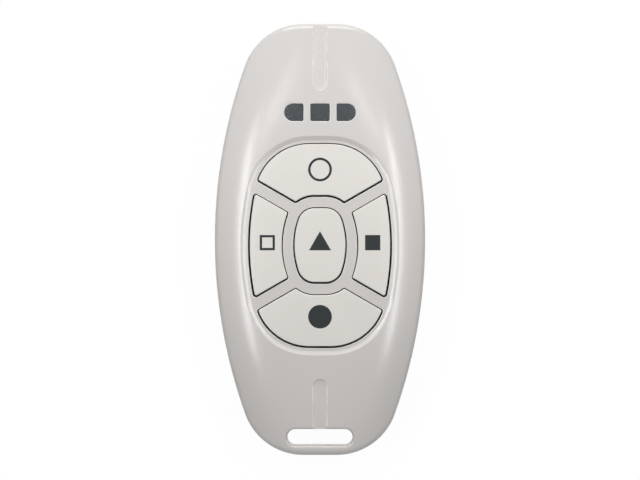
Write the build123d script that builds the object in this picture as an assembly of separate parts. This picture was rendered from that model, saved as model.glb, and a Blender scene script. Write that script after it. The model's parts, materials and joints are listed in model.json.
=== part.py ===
from build123d import *
import os
from functools import cache
from math import atan2, cos, radians, sin, sqrt

# Hand-held wireless remote control with five keys, three indicator windows and a lanyard slot.
# It lies on its back with the keys facing up (+Z), the windows at the +Y end and the slot at -Y.
# The origin is in the middle of the flat of the back. All sizes are in millimetres.

# Housing, seen from the front
body_length = 78.0
body_width = 38.0
body_corner_share = 0.292
body_flat_share = 0.163
parting_height = 8.0

# Front face: a crown along the length, with shoulders that fall away to both sides
front_depth = 8.2
crown_end_drop = 5.07
shoulder_drop = 2.7
shoulder_power_middle = 4.0
shoulder_power_end = 2.6
front_rim_rounding = 1.4

# Back face: a shallow belly cut flat where it rests
rear_end_height = 2.516
rear_side_height = 5.2
belly_sink = 0.6
belly_power = 3.0
rear_rim_rounding = 1.2

# Walls and the joint between the two covers
front_wall = 1.8
rear_wall = 1.6
side_wall = 1.8
lip_thickness = 0.8
lip_height = 1.0
lip_gap = 0.1
rib_root = 0.3
parting_bevel = 0.12

# Lanyard slot
slot_length = 11.8
slot_width = 2.95
slot_end_wall = 1.825
slot_edge_rounding = 0.45
slot_wall = 1.7

# Key field: five openings in a shallow dish, with diagonal bars between them
field_side_margin = 6.05
field_top_margin = 21.65
field_bottom_margin = 19.45
field_corner_share = 0.39
field_flat_share = 0.145
center_key_share = 0.373
center_key_corner_share = 0.331
center_key_flat_share = 0.211
ring_bar_width = 1.88
diagonal_bar_width = 2.0
diagonal_bar_slope_share = 0.405
diagonal_bar_crossing_share = 0.282
key_outer_corner = 0.6
key_inner_corner = 0.5
least_corner = 0.15
opening_rounding = 0.16
dish_margin = 1.3
dish_depth = 0.4
dish_wall_width = 0.75
dish_wall_foot = 0.015
dish_rim_rounding = 0.4

# Shallow grooves on the centre line of the front
groove_width = 2.26
groove_depth = 0.28
groove_rounding = 0.24
top_groove_length = 12.0
bottom_groove_length = 10.4

# Indicator windows and what shines through them
window_distance = 5.55
window_width = 3.45
window_height = 3.15
window_bar = 1.27
window_corner = 0.3
window_gap = 0.04
window_sink = 0.08
lens_plate_margin = 0.9
lens_plate_thickness = 0.7
lens_plate_gap = 0.06
light_well_wall = 0.6
light_well_gap = 0.15
led_base = (2.0, 1.5, 0.4)
led_dome_diameter = 1.4
led_dome_height = 0.6
led_dome_rounding = 0.48

# Key caps
key_gap = 0.25
key_top_depth = 0.22
key_edge_rounding = 0.18
key_upward_shift = 0.09
key_inward_shift = 0.07
cap_thickness = 1.2
cap_wall = 0.8
flange_overlap = 0.6
flange_thickness = 0.8
flange_gap = 0.1

# Symbols let into the key caps
mark_depth = 0.2
mark_line = 0.43
ring_mark_diameter = 4.28
ring_mark_inset = 4.75
disc_mark_diameter = 4.26
disc_mark_inset = 5.65
square_mark_side = 2.74
square_mark_inset = 3.47
square_mark_y = 0.53
triangle_mark_side = 3.98
triangle_mark_y = 0.87

# Keypad: rubber mat, plungers, thin domes and conductive pills
key_travel = 0.9
mat_margin = 2.1
mat_thickness = 0.8
clamp_rib_thickness = 1.0
plunger_diameter = 3.4
dome_span = 0.9
dome_skin = 0.3
dome_rise = 1.2
pill_diameter = 2.8
pill_thickness = 0.5
pad_thickness = 0.05
pad_split = 0.4
pad_air = 0.05

# Circuit board and its posts
board_thickness = 1.0
board_gap = 0.4
board_top_distance = 3.8
board_bottom_distance = 3.7
board_corner = 1.0
post_diameter = 3.4
peg_diameter = 1.5
peg_length = 2.2
peg_gap = 0.1
post_side_distance = 5.35
post_top_distance = 8.6
post_bottom_distance = 4.8

# Coin cell, its ring and its two contacts
cell_diameter = 20.0
cell_height = 3.2
cell_y = -2.0
cell_rim_step = 0.2
cell_rim_width = 1.2
cell_gap = 0.2
cell_ring_wall = 1.0
cell_ring_height = 2.8
cell_seat_height = 0.5
cell_seat_width = 1.5
contact_strip = 0.2
contact_width = 4.6
contact_channel_gap = 0.5
contact_touch_gap = 0.02
contact_bend = 0.35
bump_half = 1.5
bump_slope = 2.0
strip_tail = 2.2
leaf_root = 4.5
leaf_lift = 0.5

# Screws
screw_end_distance = 8.0
screw_slot_distance = 7.0
screw_diameter = 2.2
screw_length = 4.8
screw_head_diameter = 4.0
screw_head_height = 1.1
screw_seat_height = 5.4
screw_recess = 0.6
screw_recess_width = 0.7
screw_recess_span = 2.4
screw_head_rounding = 0.36
screw_hole_gap = 0.1
screw_thread_gap = 0.01
screw_tip_gap = 0.3
counterbore_gap = 0.2
rear_boss_diameter = 6.2
front_boss_diameter = 5.0

# Parts on the underside of the board, placed from the middle of its window end
controller_size = (7.0, 7.0, 1.0)
controller_place = (-5.5, -10.2)
radio_size = (4.0, 4.0, 0.9)
radio_place = (4.5, -12.7)
crystal_size = (5.0, 3.2, 1.1)
crystal_place = (5.2, -7.2)
crystal_corner = 1.0
capacitor_size = (1.6, 0.8, 0.8)
capacitor_count = 5
resistor_size = (1.6, 0.8, 0.45)
resistor_count = 6
small_part_pitch = 1.6
small_part_side_distance = 8.8
small_part_distance = 19.8
antenna_inset = 0.5
antenna_width = 0.8
antenna_thickness = 0.05
antenna_reach = 16.2

# How far the two faces are carried past the outline, and how close an edge on one has to lie
face_overhang = 1.5
on_face = 0.04

# Sizes and places that follow from the sizes above
body_corner_radius = body_width * body_corner_share
body_end_flat = body_width * body_flat_share
crown_height = parting_height + front_depth
belly_end_rise = parting_height - rear_end_height + belly_sink
belly_side_rise = parting_height - rear_side_height + belly_sink
slot_y = slot_end_wall + slot_width / 2 - body_length / 2
field_width = body_width - 2 * field_side_margin
field_length = body_length - field_top_margin - field_bottom_margin
field_corner_radius = field_width * field_corner_share
field_flat = field_width * field_flat_share
keypad_y = (field_bottom_margin - field_top_margin) / 2
center_key_width = field_width * center_key_share
center_key_length = field_length * center_key_share
center_key_corner_radius = center_key_width * center_key_corner_share
center_key_flat = center_key_width * center_key_flat_share
diagonal_bar_slope = diagonal_bar_slope_share * field_length / field_width
diagonal_bar_crossing = center_key_length * diagonal_bar_crossing_share
window_y = keypad_y + field_length / 2 + window_distance
screw_top_y = body_length / 2 - screw_end_distance
screw_bottom_y = slot_y + screw_slot_distance
board_top_y = screw_top_y - board_top_distance
board_bottom_y = screw_bottom_y + board_bottom_distance
post_top_y = board_top_y - post_top_distance
post_bottom_y = board_bottom_y + post_bottom_distance
side_plunger_x = (center_key_width / 2 + ring_bar_width + field_width / 2) / 2
end_plunger_y = (center_key_length / 2 + ring_bar_width + field_length / 2) / 2
small_part_x = body_width / 2 - small_part_side_distance
high = crown_height + 4.0
board_top = parting_height
board_bottom = board_top - board_thickness
mat_top = board_top + mat_thickness
pill_bottom = board_top + pad_thickness + pad_air + key_travel
plunger_bottom = pill_bottom + pill_thickness
cell_bottom = rear_wall + cell_seat_height
cell_top = cell_bottom + cell_height
cavity_end = slot_y + slot_width / 2 + slot_wall
key_spots = {
    "top": (0.0, end_plunger_y),
    "left": (-side_plunger_x, 0.0),
    "center": (0.0, 0.0),
    "right": (side_plunger_x, 0.0),
    "bottom": (0.0, -end_plunger_y),
}


def side_arc_radius(width, length, corner_radius, end_flat):
    """Radius of the side arcs that meet the corner arcs of an oval without a kink."""
    reach = width / 2 - end_flat / 2
    rise = length / 2 - corner_radius
    return (reach**2 + rise**2 - corner_radius**2) / (2 * (reach - corner_radius))


def arc(center, radius, start, end):
    """Arc about a centre, between two angles in radians."""
    angles = (start, (start + end) / 2, end)
    points = [(center[0] + radius * cos(angle), center[1] + radius * sin(angle)) for angle in angles]
    return ThreePointArc(*points)


def oval(width, length, corner_radius, end_flat, grow=0.0):
    """Outline with bowed sides, round corners and short flat ends, grown evenly all round."""
    side_radius = side_arc_radius(width, length, corner_radius, end_flat)
    side_center = (width / 2 - side_radius, 0)
    corner_center = (end_flat / 2, length / 2 - corner_radius)
    turn = atan2(corner_center[1], corner_center[0] - side_center[0])
    side = arc(side_center, side_radius + grow, 0, turn)
    corner = arc(corner_center, corner_radius + grow, turn, radians(90))
    end_y = length / 2 + grow
    end = Line((end_flat / 2, end_y), (-end_flat / 2, end_y))
    half = [side, corner, end, side.mirror(Plane.YZ), corner.mirror(Plane.YZ)]
    return make_face(half + [edge.mirror(Plane.XZ) for edge in half])


def prism(outline, bottom, top):
    """Straight solid on an outline, between two heights."""
    return Pos(0, 0, bottom) * extrude(outline, top - bottom)


def housing_outline(inset=0.0):
    """Plan of the housing, drawn in by a wall."""
    return oval(body_width, body_length, body_corner_radius, body_end_flat, -inset)


def cavity_outline(inset):
    """Plan of the hollow inside a wall, which stops short of the lanyard slot."""
    end = cavity_end - side_wall + inset
    keep = Pos(0, end + body_length / 2) * Rectangle(body_width, body_length)
    return housing_outline(inset) & keep


def side_half_width(y):
    """Half the width between the side arcs, carried on past the corners."""
    radius = side_arc_radius(body_width, body_length, body_corner_radius, body_end_flat)
    return body_width / 2 - radius + sqrt(radius**2 - y**2)


def front_height(x, y):
    """Height of the front face over the back's flat."""
    along = y / (body_length / 2)
    power = shoulder_power_middle + (shoulder_power_end - shoulder_power_middle) * along**2
    across = abs(x) / side_half_width(y)
    return crown_height - crown_end_drop * along**2 - shoulder_drop * across**power


def back_height(x, y):
    """Height of the belly, which dips below zero where the flat is cut."""
    along = y / (body_length / 2)
    across = abs(x) / side_half_width(y)
    return belly_end_rise * along**2 + belly_side_rise * across**belly_power - belly_sink


def swept_block(height_at, depth, overhang):
    """Block behind a smooth face that is a little larger than the housing, sampled on a grid."""
    columns, rows = 28, 40
    half_x = body_width / 2 + overhang
    half_y = body_length / 2 + overhang
    xs = [half_x * (2 * i / columns - 1) for i in range(columns + 1)]
    ys = [half_y * (2 * j / rows - 1) for j in range(rows + 1)]
    grid = [[Vector(x, y, height_at(x, y)) for y in ys] for x in xs]
    face = Face.make_surface_from_array_of_points(grid, tol=1e-3)
    return extrude(face, amount=abs(depth), dir=(0, 0, 1 if depth > 0 else -1))


crown = swept_block(front_height, -2 * crown_height, face_overhang)
crown_core = swept_block(front_height, -3 * crown_height, face_overhang + rib_root)
belly = swept_block(back_height, 2 * crown_height, face_overhang)


def below_crown(depth):
    """Everything that lies deeper than this under the front face."""
    return Pos(0, 0, -depth) * crown


@cache
def layer(outer_depth, inner_depth):
    """Even layer between two depths under the front face."""
    return below_crown(outer_depth) - Pos(0, 0, -inner_depth) * crown_core


@cache
def above_belly(lift):
    """Everything that lies further than this inside the back face."""
    return (Pos(0, 0, lift) * belly) & prism(Rectangle(2 * body_width, 2 * body_length), lift, high)


def slot_outline():
    """Lanyard slot with round ends."""
    return Pos(0, slot_y) * SlotOverall(slot_length, slot_width)


def field_outline(grow=0.0):
    """Outer edge of the key field, grown by a margin."""
    return Pos(0, keypad_y) * oval(field_width, field_length, field_corner_radius, field_flat, grow)


def hub_outline(grow):
    """Outline of the centre key, grown evenly."""
    return oval(center_key_width, center_key_length, center_key_corner_radius, center_key_flat, grow)


def rounded(outline, radius):
    """Outline with its corners rounded, by drawing it in and letting it out again."""
    return offset(offset(outline, -radius), radius)


def key_outline(key, inset=0.0):
    """Plan of one key opening, drawn in by a gap or, when negative, grown by a flange."""
    if key == "center":
        return Pos(0, keypad_y) * hub_outline(-inset)
    slope = diagonal_bar_slope
    half_bar = (diagonal_bar_width / 2 + inset) * sqrt(1 + slope**2)
    far = field_length
    if key in ("top", "bottom"):
        start = diagonal_bar_crossing + half_bar
        corners = [(0, start), (far, start + slope * far), (-far, start + slope * far)]
    else:
        start = diagonal_bar_crossing - half_bar
        corners = [(-start / slope, 0), (far, start + slope * far), (far, -start - slope * far)]
    field = oval(field_width, field_length, field_corner_radius, field_flat, -inset)
    outline = field & make_face(Polyline(*corners, close=True))
    outline = rounded(outline, max(key_outer_corner - inset, least_corner))
    outline -= hub_outline(ring_bar_width + inset)
    outline = rounded(outline, max(key_inner_corner - inset, least_corner))
    turn = 180 if key in ("bottom", "left") else 0
    return Pos(0, keypad_y) * Rot(0, 0, turn) * outline


def window_centers():
    """Centres of the three windows along X."""
    pitch = window_width + window_bar
    return [-pitch, 0.0, pitch]


def window_row():
    """Length of the whole row of windows."""
    return window_centers()[-1] - window_centers()[0] + window_width


def window_outline(inset=0.0):
    """The three windows: a square one between two whose outer ends are round."""
    strip = SlotOverall(window_row() - 2 * inset, window_height - 2 * inset)
    window = RectangleRounded(window_width - 2 * inset, window_height - 2 * inset, window_corner - inset)
    windows = Sketch() + [Pos(x, 0) * window for x in window_centers()]
    return Pos(0, window_y) * (windows & strip)


def lens_plate_outline(grow=0.0):
    """Plate under the windows that joins them into one lens."""
    width = window_row() + 2 * (lens_plate_margin + grow)
    height = window_height + 2 * (lens_plate_margin + grow)
    return Pos(0, window_y) * RectangleRounded(width, height, window_corner + grow)


def groove_outline(start_y, end_y):
    """Groove on the centre line with round ends."""
    return Pos(0, (start_y + end_y) / 2) * Rot(0, 0, 90) * SlotOverall(abs(end_y - start_y), groove_width)


def edges_at_depth(solid, depth, outline=None):
    """Edges that lie on the front face, or on the same face taken deeper, inside an outline's box."""
    margin = 0.2
    box = (outline or housing_outline()).bounding_box()
    found = []
    for edge in solid.edges():
        points = (edge.position_at(0.25), edge.position_at(0.75))
        level = all(abs(front_height(p.X, p.Y) - depth - p.Z) < on_face for p in points)
        near_x = box.min.X - margin < edge.center().X < box.max.X + margin
        near_y = box.min.Y - margin < edge.center().Y < box.max.Y + margin
        if level and near_x and near_y:
            found.append(edge)
    return found


def crown_face(solid):
    """What is left of the front face round the openings."""
    upper = [face for face in solid.faces() if face.center().Z > parting_height + front_depth / 2]
    return max(upper, key=lambda face: face.area)


def rim_edges(solid, depth, outline):
    """Edges at one depth under the front face that run right over the edges of an outline."""
    border = outline.edges()
    found = []
    for edge in edges_at_depth(solid, depth, outline):
        spots = [edge.position_at(share) for share in (0.1, 0.5, 0.9)]
        plan = [Vertex(spot.X, spot.Y, 0) for spot in spots]
        if all(min(line.distance_to(spot) for line in border) < on_face for spot in plan):
            found.append(edge)
    return found


def edges_at_parting(solid):
    """Edges in the plane where the two covers meet."""
    found = []
    for edge in solid.edges():
        box = edge.bounding_box()
        if abs(box.min.Z - parting_height) < 0.01 and abs(box.max.Z - parting_height) < 0.01:
            found.append(edge)
    return found


def posts():
    """Places of the four posts that hold the circuit board, at one distance from the sides."""
    rows = [(side_half_width(y) - post_side_distance, y) for y in (post_bottom_y, post_top_y)]
    return [(side * x, y) for side in (-1, 1) for x, y in rows]


def screws():
    """Places of the two case screws."""
    return [(0.0, screw_bottom_y), (0.0, screw_top_y)]


def disc(place, diameter):
    """Round outline at a place."""
    return Pos(*place) * Circle(diameter / 2)


def front_skin():
    """Front cover before it is hollowed: crown, dish, grooves, slot and openings with soft edges."""
    solid = prism(housing_outline(), parting_height, high) & below_crown(0)
    solid = fillet(edges_at_depth(solid, 0), front_rim_rounding)
    solid = chamfer(edges_at_parting(solid), parting_bevel)
    dish = field_outline(dish_margin - dish_wall_width)
    solid -= prism(dish, parting_height, high) - below_crown(dish_depth)
    rim = edges_at_depth(solid, 0, dish)
    solid = chamfer(rim, dish_wall_width, dish_depth - dish_wall_foot, reference=crown_face(solid))
    solid = fillet(edges_at_depth(solid, 0, field_outline(dish_margin)), dish_rim_rounding)
    solid -= prism(slot_outline(), 0, high)
    solid = fillet(edges_at_depth(solid, 0, slot_outline()), slot_edge_rounding)
    grooves = [
        groove_outline(body_length / 2 - top_groove_length, body_length / 2 + groove_width),
        groove_outline(slot_y + bottom_groove_length, slot_y),
    ]
    for groove in grooves:
        solid -= prism(groove, parting_height, high) - below_crown(groove_depth)
        solid = fillet(edges_at_depth(solid, 0, groove), groove_rounding)
    for key in key_spots:
        solid -= prism(key_outline(key), parting_height, high)
        solid = fillet(rim_edges(solid, dish_depth, key_outline(key)), opening_rounding)
    solid -= prism(window_outline(), parting_height, high)
    return fillet(rim_edges(solid, 0, window_outline()), opening_rounding)


def front_ribs():
    """What stands down from the inside of the front: clamp rib, posts, bosses and light wells."""
    rib_inset = mat_margin - clamp_rib_thickness
    rib = field_outline(mat_margin) - field_outline(rib_inset)
    peg_hole_top = board_bottom + peg_length + peg_gap
    screw_hole_top = screw_seat_height + screw_length + screw_tip_gap
    well_floor = board_top + light_well_gap
    bar = window_bar - light_well_wall
    well = Rectangle(window_width + bar, window_height + bar)
    ribs = [prism(rib, mat_top, high), prism(lens_plate_outline(light_well_wall), well_floor, high)]
    ribs += [prism(disc(place, post_diameter), board_top, high) for place in posts()]
    ribs += [prism(disc(place, front_boss_diameter), parting_height, high) for place in screws()]
    holes = [prism(disc(place, peg_diameter + 2 * peg_gap), board_top, peg_hole_top) for place in posts()]
    thread = screw_diameter + 2 * screw_thread_gap
    holes += [prism(disc(place, thread), parting_height, screw_hole_top) for place in screws()]
    holes += [prism(Pos(x, window_y) * well, well_floor, high) for x in window_centers()]
    plate_room = prism(lens_plate_outline(lens_plate_gap), parting_height, high)
    holes.append(plate_room - below_crown(front_wall + lens_plate_thickness + lens_plate_gap))
    return (Part() + ribs - holes) & below_crown(front_wall - rib_root)


def front_cover():
    """Front cover: the skin, hollowed, with its openings, its inner ribs and a rebate for the lip."""
    solid = front_skin()
    solid -= prism(cavity_outline(side_wall), parting_height, high) & below_crown(front_wall)
    rebate = cavity_outline(side_wall - lip_thickness - lip_gap) - cavity_outline(side_wall)
    openings = [prism(key_outline(key), parting_height, high) for key in key_spots]
    openings.append(prism(window_outline(), parting_height, high))
    openings.append(prism(rebate, parting_height, parting_height + lip_height + lip_gap))
    return solid + front_ribs() - openings


def rear_cover():
    """Rear cover: belly with a lip, posts with pegs, screw bosses and the ring for the coin cell."""
    solid = prism(housing_outline(), 0, parting_height) & above_belly(0)
    rim = [edge for edge in solid.edges() if on_belly(edge)]
    solid = fillet(rim, rear_rim_rounding)
    solid = chamfer(edges_at_parting(solid), parting_bevel)
    solid -= prism(slot_outline(), 0, high)
    slot_rim = [edge for edge in solid.edges() if on_belly(edge) and edge.center().Y < cavity_end]
    slot_rim = [edge for edge in slot_rim if abs(edge.center().X) < slot_length / 2 + slot_edge_rounding]
    slot_rim = [edge for edge in slot_rim if abs(edge.center().Y - slot_y) < slot_width]
    solid = fillet(slot_rim, slot_edge_rounding)
    solid -= prism(cavity_outline(side_wall), 0, parting_height) & above_belly(rear_wall)
    lip = cavity_outline(side_wall - lip_thickness) - cavity_outline(side_wall)
    solid += prism(lip, parting_height, parting_height + lip_height)
    ribs = [prism(disc(place, post_diameter), 0, board_bottom) for place in posts()]
    ribs += [prism(disc(place, peg_diameter), 0, board_bottom + peg_length) for place in posts()]
    ribs += [prism(disc(place, rear_boss_diameter), 0, parting_height) for place in screws()]
    ribs.append(cell_ring())
    shank_hole = screw_diameter + 2 * screw_hole_gap
    head_hole = screw_head_diameter + 2 * counterbore_gap
    holes = [prism(disc(place, shank_hole), 0, parting_height) for place in screws()]
    holes += [prism(disc(place, head_hole), 0, screw_seat_height) for place in screws()]
    return solid + ((Part() + ribs) & above_belly(rear_wall - rib_root)) - holes


def on_belly(edge):
    """Whether an edge lies on the back face, the flat left out."""
    points = (edge.position_at(0.25), edge.position_at(0.75))
    return all(abs(back_height(p.X, p.Y) - p.Z) < on_face for p in points)


def cell_ring():
    """Ring that centres the coin cell, with a low seat inside and a way out for the strip."""
    bore = cell_diameter + 2 * cell_gap
    ring = prism(disc((0, cell_y), bore + 2 * cell_ring_wall), 0, rear_wall + cell_ring_height)
    ring -= prism(disc((0, cell_y), bore), cell_bottom, high)
    ring -= prism(disc((0, cell_y), bore - 2 * cell_seat_width), 0, high)
    channel = contact_width + 2 * contact_channel_gap
    return ring - prism(Pos(cell_diameter / 2, cell_y) * Rectangle(cell_diameter, channel), 0, high)


def case_screws():
    """Two pan-head screws with a cross recess, driven from the back."""
    group = []
    for place in screws():
        head_bottom = screw_seat_height - screw_head_height
        screw = prism(disc(place, screw_head_diameter), head_bottom, screw_seat_height)
        lower = screw.edges().group_by(Axis.Z)[0]
        screw = fillet(lower, screw_head_rounding)
        screw += prism(disc(place, screw_diameter), screw_seat_height, screw_seat_height + screw_length)
        cross = Rectangle(screw_recess_span, screw_recess_width)
        cross += Rectangle(screw_recess_width, screw_recess_span)
        screw -= prism(Pos(*place) * cross, head_bottom, head_bottom + screw_recess)
        group.append(screw)
    return Compound(children=group)


def board_outline(inset=0.0):
    """Plan of the circuit board: the hollow less a gap, cut square at both ends."""
    height = board_top_y - board_bottom_y - 2 * inset
    middle = (board_top_y + board_bottom_y) / 2
    return housing_outline(side_wall + board_gap + inset) & Pos(0, middle) * Rectangle(body_width, height)


def circuit_board():
    """Circuit board with four holes for the pegs."""
    outline = board_outline()
    corners = [v for v in outline.vertices() if v.Y > board_top_y - 0.01 or v.Y < board_bottom_y + 0.01]
    outline = fillet(corners, board_corner)
    for place in posts():
        outline -= disc(place, peg_diameter + 2 * peg_gap)
    return prism(outline, board_bottom, board_top)


def contact_pads():
    """A split round gold pad on the board under each pill."""
    split = Rectangle(pad_split, pill_diameter * 2)
    pads = Sketch()
    for x, y in key_spots.values():
        pads += Pos(x, y + keypad_y) * (Circle(plunger_diameter / 2) - split)
    return prism(pads, board_top, board_top + pad_thickness)


def keypad_mat():
    """Rubber mat that lies on the board, open under each key."""
    outline = field_outline(mat_margin)
    for place in key_spots.values():
        outline -= Pos(0, keypad_y) * disc(place, plunger_diameter + 2 * dome_span)
    return prism(outline, board_top, mat_top)


def key_cap(key):
    """Hollow cap whose face follows the front, with a flange that stops it under the cover."""
    shift = key_shift(key)
    flange_top = front_wall + flange_gap
    flange_bottom = flange_top + flange_thickness
    cap = prism(shift * key_outline(key, key_gap), parting_height, high)
    cap &= layer(key_top_depth, flange_bottom)
    cap = fillet(edges_at_depth(cap, key_top_depth), key_edge_rounding)
    flange = prism(shift * key_outline(key, -flange_overlap), parting_height, high)
    cap += flange & layer(flange_top, flange_bottom)
    hollow = prism(shift * key_outline(key, key_gap + cap_wall), parting_height, high)
    cap -= hollow & below_crown(key_top_depth + cap_thickness)
    pocket = prism(mark_outline(key), parting_height, high)
    return cap - (pocket - below_crown(key_top_depth + mark_depth))


def key_shift(key):
    """Where a cap sits in its opening: a hair towards the window end and the middle."""
    side = key_spots[key][0] / side_plunger_x
    return Pos(-side * key_inward_shift, key_upward_shift)


def mark_outline(key):
    """Symbol of a key: ring, hollow square, triangle, filled square or disc."""
    if key == "top":
        ring = Circle(ring_mark_diameter / 2) - Circle(ring_mark_diameter / 2 - mark_line)
        return Pos(0, keypad_y + field_length / 2 - ring_mark_inset) * ring
    if key == "bottom":
        return disc((0, keypad_y - field_length / 2 + disc_mark_inset), disc_mark_diameter)
    if key == "center":
        half = triangle_mark_side / 2
        height = half * sqrt(3)
        corners = [(-half, -height / 2), (half, -height / 2), (0, height / 2)]
        return Pos(0, keypad_y + triangle_mark_y) * make_face(Polyline(*corners, close=True))
    square = Rectangle(square_mark_side, square_mark_side)
    square_x = field_width / 2 - square_mark_inset
    if key == "left":
        square -= Rectangle(square_mark_side - 2 * mark_line, square_mark_side - 2 * mark_line)
        return Pos(-square_x, keypad_y + square_mark_y) * square
    return Pos(square_x, keypad_y + square_mark_y) * square


def key_mark(key):
    """Dark inlay that fills the symbol's pocket flush with the cap."""
    mark = prism(mark_outline(key), parting_height, high)
    return mark & layer(key_top_depth, key_top_depth + mark_depth)


def key_plunger(key):
    """Rubber post that carries a cap from inside."""
    post = prism(Pos(0, keypad_y) * disc(key_spots[key], plunger_diameter), plunger_bottom, high)
    return post & below_crown(key_top_depth + cap_thickness)


def contact_pill(key):
    """Conductive disc under the post, which closes the pads on the board when the key is pressed."""
    return prism(Pos(0, keypad_y) * disc(key_spots[key], pill_diameter), pill_bottom, plunger_bottom)


def key_web(key):
    """Thin rubber cone between the mat and a post, which gives way when the key is pressed."""
    x, y = key_spots[key]
    inner = plunger_diameter / 2
    outer = inner + dome_span
    top = mat_top + dome_rise
    corners = [(inner, top - dome_skin), (inner, top), (outer, mat_top), (outer, mat_top - dome_skin)]
    profile = Plane.XZ * make_face(Polyline(*corners, close=True))
    return Pos(x, y + keypad_y, 0) * revolve(profile, Axis.Z)


def indicator_lens():
    """Smoke lens: three windows that fill the openings, on one plate behind them."""
    plate_bottom = front_wall + lens_plate_thickness
    windows = prism(window_outline(window_gap), parting_height, high)
    plate = prism(lens_plate_outline(), parting_height, high)
    return (windows & layer(window_sink, plate_bottom)) + (plate & layer(front_wall, plate_bottom))


def indicator_led(x):
    """Small lamp on the board: a flat base with a round dome."""
    width, height, thickness = led_base
    lamp = prism(Pos(x, window_y) * Rectangle(width, height), board_top, board_top + thickness)
    dome_top = board_top + thickness + led_dome_height
    dome = prism(disc((x, window_y), led_dome_diameter), board_top + thickness, dome_top)
    dome = fillet(dome.edges().group_by(Axis.Z)[-1], led_dome_rounding)
    return lamp + dome


def coin_battery():
    """Coin cell: a can with a small step to its upper lid."""
    radius = cell_diameter / 2
    step = cell_top - cell_rim_step
    corners = [(0, cell_bottom), (radius, cell_bottom), (radius, step), (radius - cell_rim_width, step)]
    corners += [(radius - cell_rim_width, cell_top), (0, cell_top)]
    profile = Plane.XZ * make_face(Polyline(*corners, close=True))
    return Pos(0, cell_y, 0) * revolve(profile, Axis.Z)


def strip_along(path, plane, place):
    """Sheet metal strip bent along a path and as wide as a battery contact."""
    profile = plane * trace(path, contact_strip)
    return place * extrude(profile, contact_width / 2, both=True)


def battery_positive_contact():
    """Strip under the cell that bends up through the ring's gap to the board."""
    half = contact_strip / 2
    floor = rear_wall + half
    touch = cell_bottom - half - contact_touch_gap
    riser = cell_diameter / 2 + cell_gap + half + contact_touch_gap
    foot = bump_half + bump_slope
    bump = [(-foot, floor), (-bump_half, touch), (bump_half, touch), (foot, floor)]
    corners = [(-foot - strip_tail, floor)] + bump + [(riser, floor), (riser, board_bottom)]
    return strip_along(FilletPolyline(*corners, radius=contact_bend), Plane.XZ, Pos(0, cell_y, 0))


def battery_negative_contact():
    """Leaf on the underside of the board that presses on the lid of the cell."""
    half = contact_strip / 2
    top = board_bottom - half
    touch = cell_top + half + contact_touch_gap
    tip = -bump_half - bump_slope
    corners = [(leaf_root + strip_tail, top), (leaf_root, top), (0, touch), (-bump_half, touch)]
    corners.append((tip, touch + leaf_lift))
    return strip_along(FilletPolyline(*corners, radius=contact_bend), Plane.YZ, Pos(0, cell_y, 0))


def under_board(size, place, corner=0.0):
    """Block soldered to the underside of the board."""
    outline = RectangleRounded(size[0], size[1], corner) if corner else Rectangle(size[0], size[1])
    return prism(Pos(place[0], board_top_y + place[1]) * outline, board_bottom - size[2], board_bottom)


def small_part_row(size, count, x):
    """Row of small parts along Y on the underside of the board."""
    places = [(x, i * small_part_pitch - small_part_distance) for i in range(count)]
    return Compound(children=[under_board(size, place) for place in places])


def antenna_loop():
    """Flat copper loop round the window end of the board."""
    loop = board_outline(antenna_inset) - board_outline(antenna_inset + antenna_width)
    loop &= Pos(0, board_top_y - antenna_reach + body_length / 2) * Rectangle(body_width, body_length)
    return prism(loop, board_bottom - antenna_thickness, board_bottom)


def build_parts():
    """Every piece of the remote control, by name."""
    parts = {
        "front_cover": front_cover(),
        "rear_cover": rear_cover(),
        "case_screws": case_screws(),
        "circuit_board": circuit_board(),
        "contact_pads": contact_pads(),
        "keypad_mat": keypad_mat(),
        "indicator_lens": indicator_lens(),
        "coin_battery": coin_battery(),
        "battery_positive_contact": battery_positive_contact(),
        "battery_negative_contact": battery_negative_contact(),
        "microcontroller": under_board(controller_size, controller_place),
        "radio_chip": under_board(radio_size, radio_place),
        "crystal": under_board(crystal_size, crystal_place, crystal_corner),
        "antenna_loop": antenna_loop(),
        "chip_capacitors": small_part_row(capacitor_size, capacitor_count, small_part_x),
        "chip_resistors": small_part_row(resistor_size, resistor_count, -small_part_x),
    }
    for color, x in zip(("green", "amber", "red"), window_centers()):
        parts["led_" + color] = indicator_led(x)
    for key in key_spots:
        parts["key_cap_" + key] = key_cap(key)
        parts["key_mark_" + key] = key_mark(key)
        parts["key_plunger_" + key] = key_plunger(key)
        parts["contact_pill_" + key] = contact_pill(key)
        parts["key_web_" + key] = key_web(key)
    return parts


os.makedirs("parts", exist_ok=True)
for name, shape in build_parts().items():
    export_step(shape, "parts/" + name + ".step")
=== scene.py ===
"""Looks of a five-key hand-held remote control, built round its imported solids.

The remote lies on its back with the keys up. Sizes are written in millimetres, and MM turns them into
the metres of the scene.
"""

import json
import logging
import math
from collections.abc import Callable, Sequence
from dataclasses import dataclass, field
from enum import Enum
from typing import ClassVar

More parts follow.
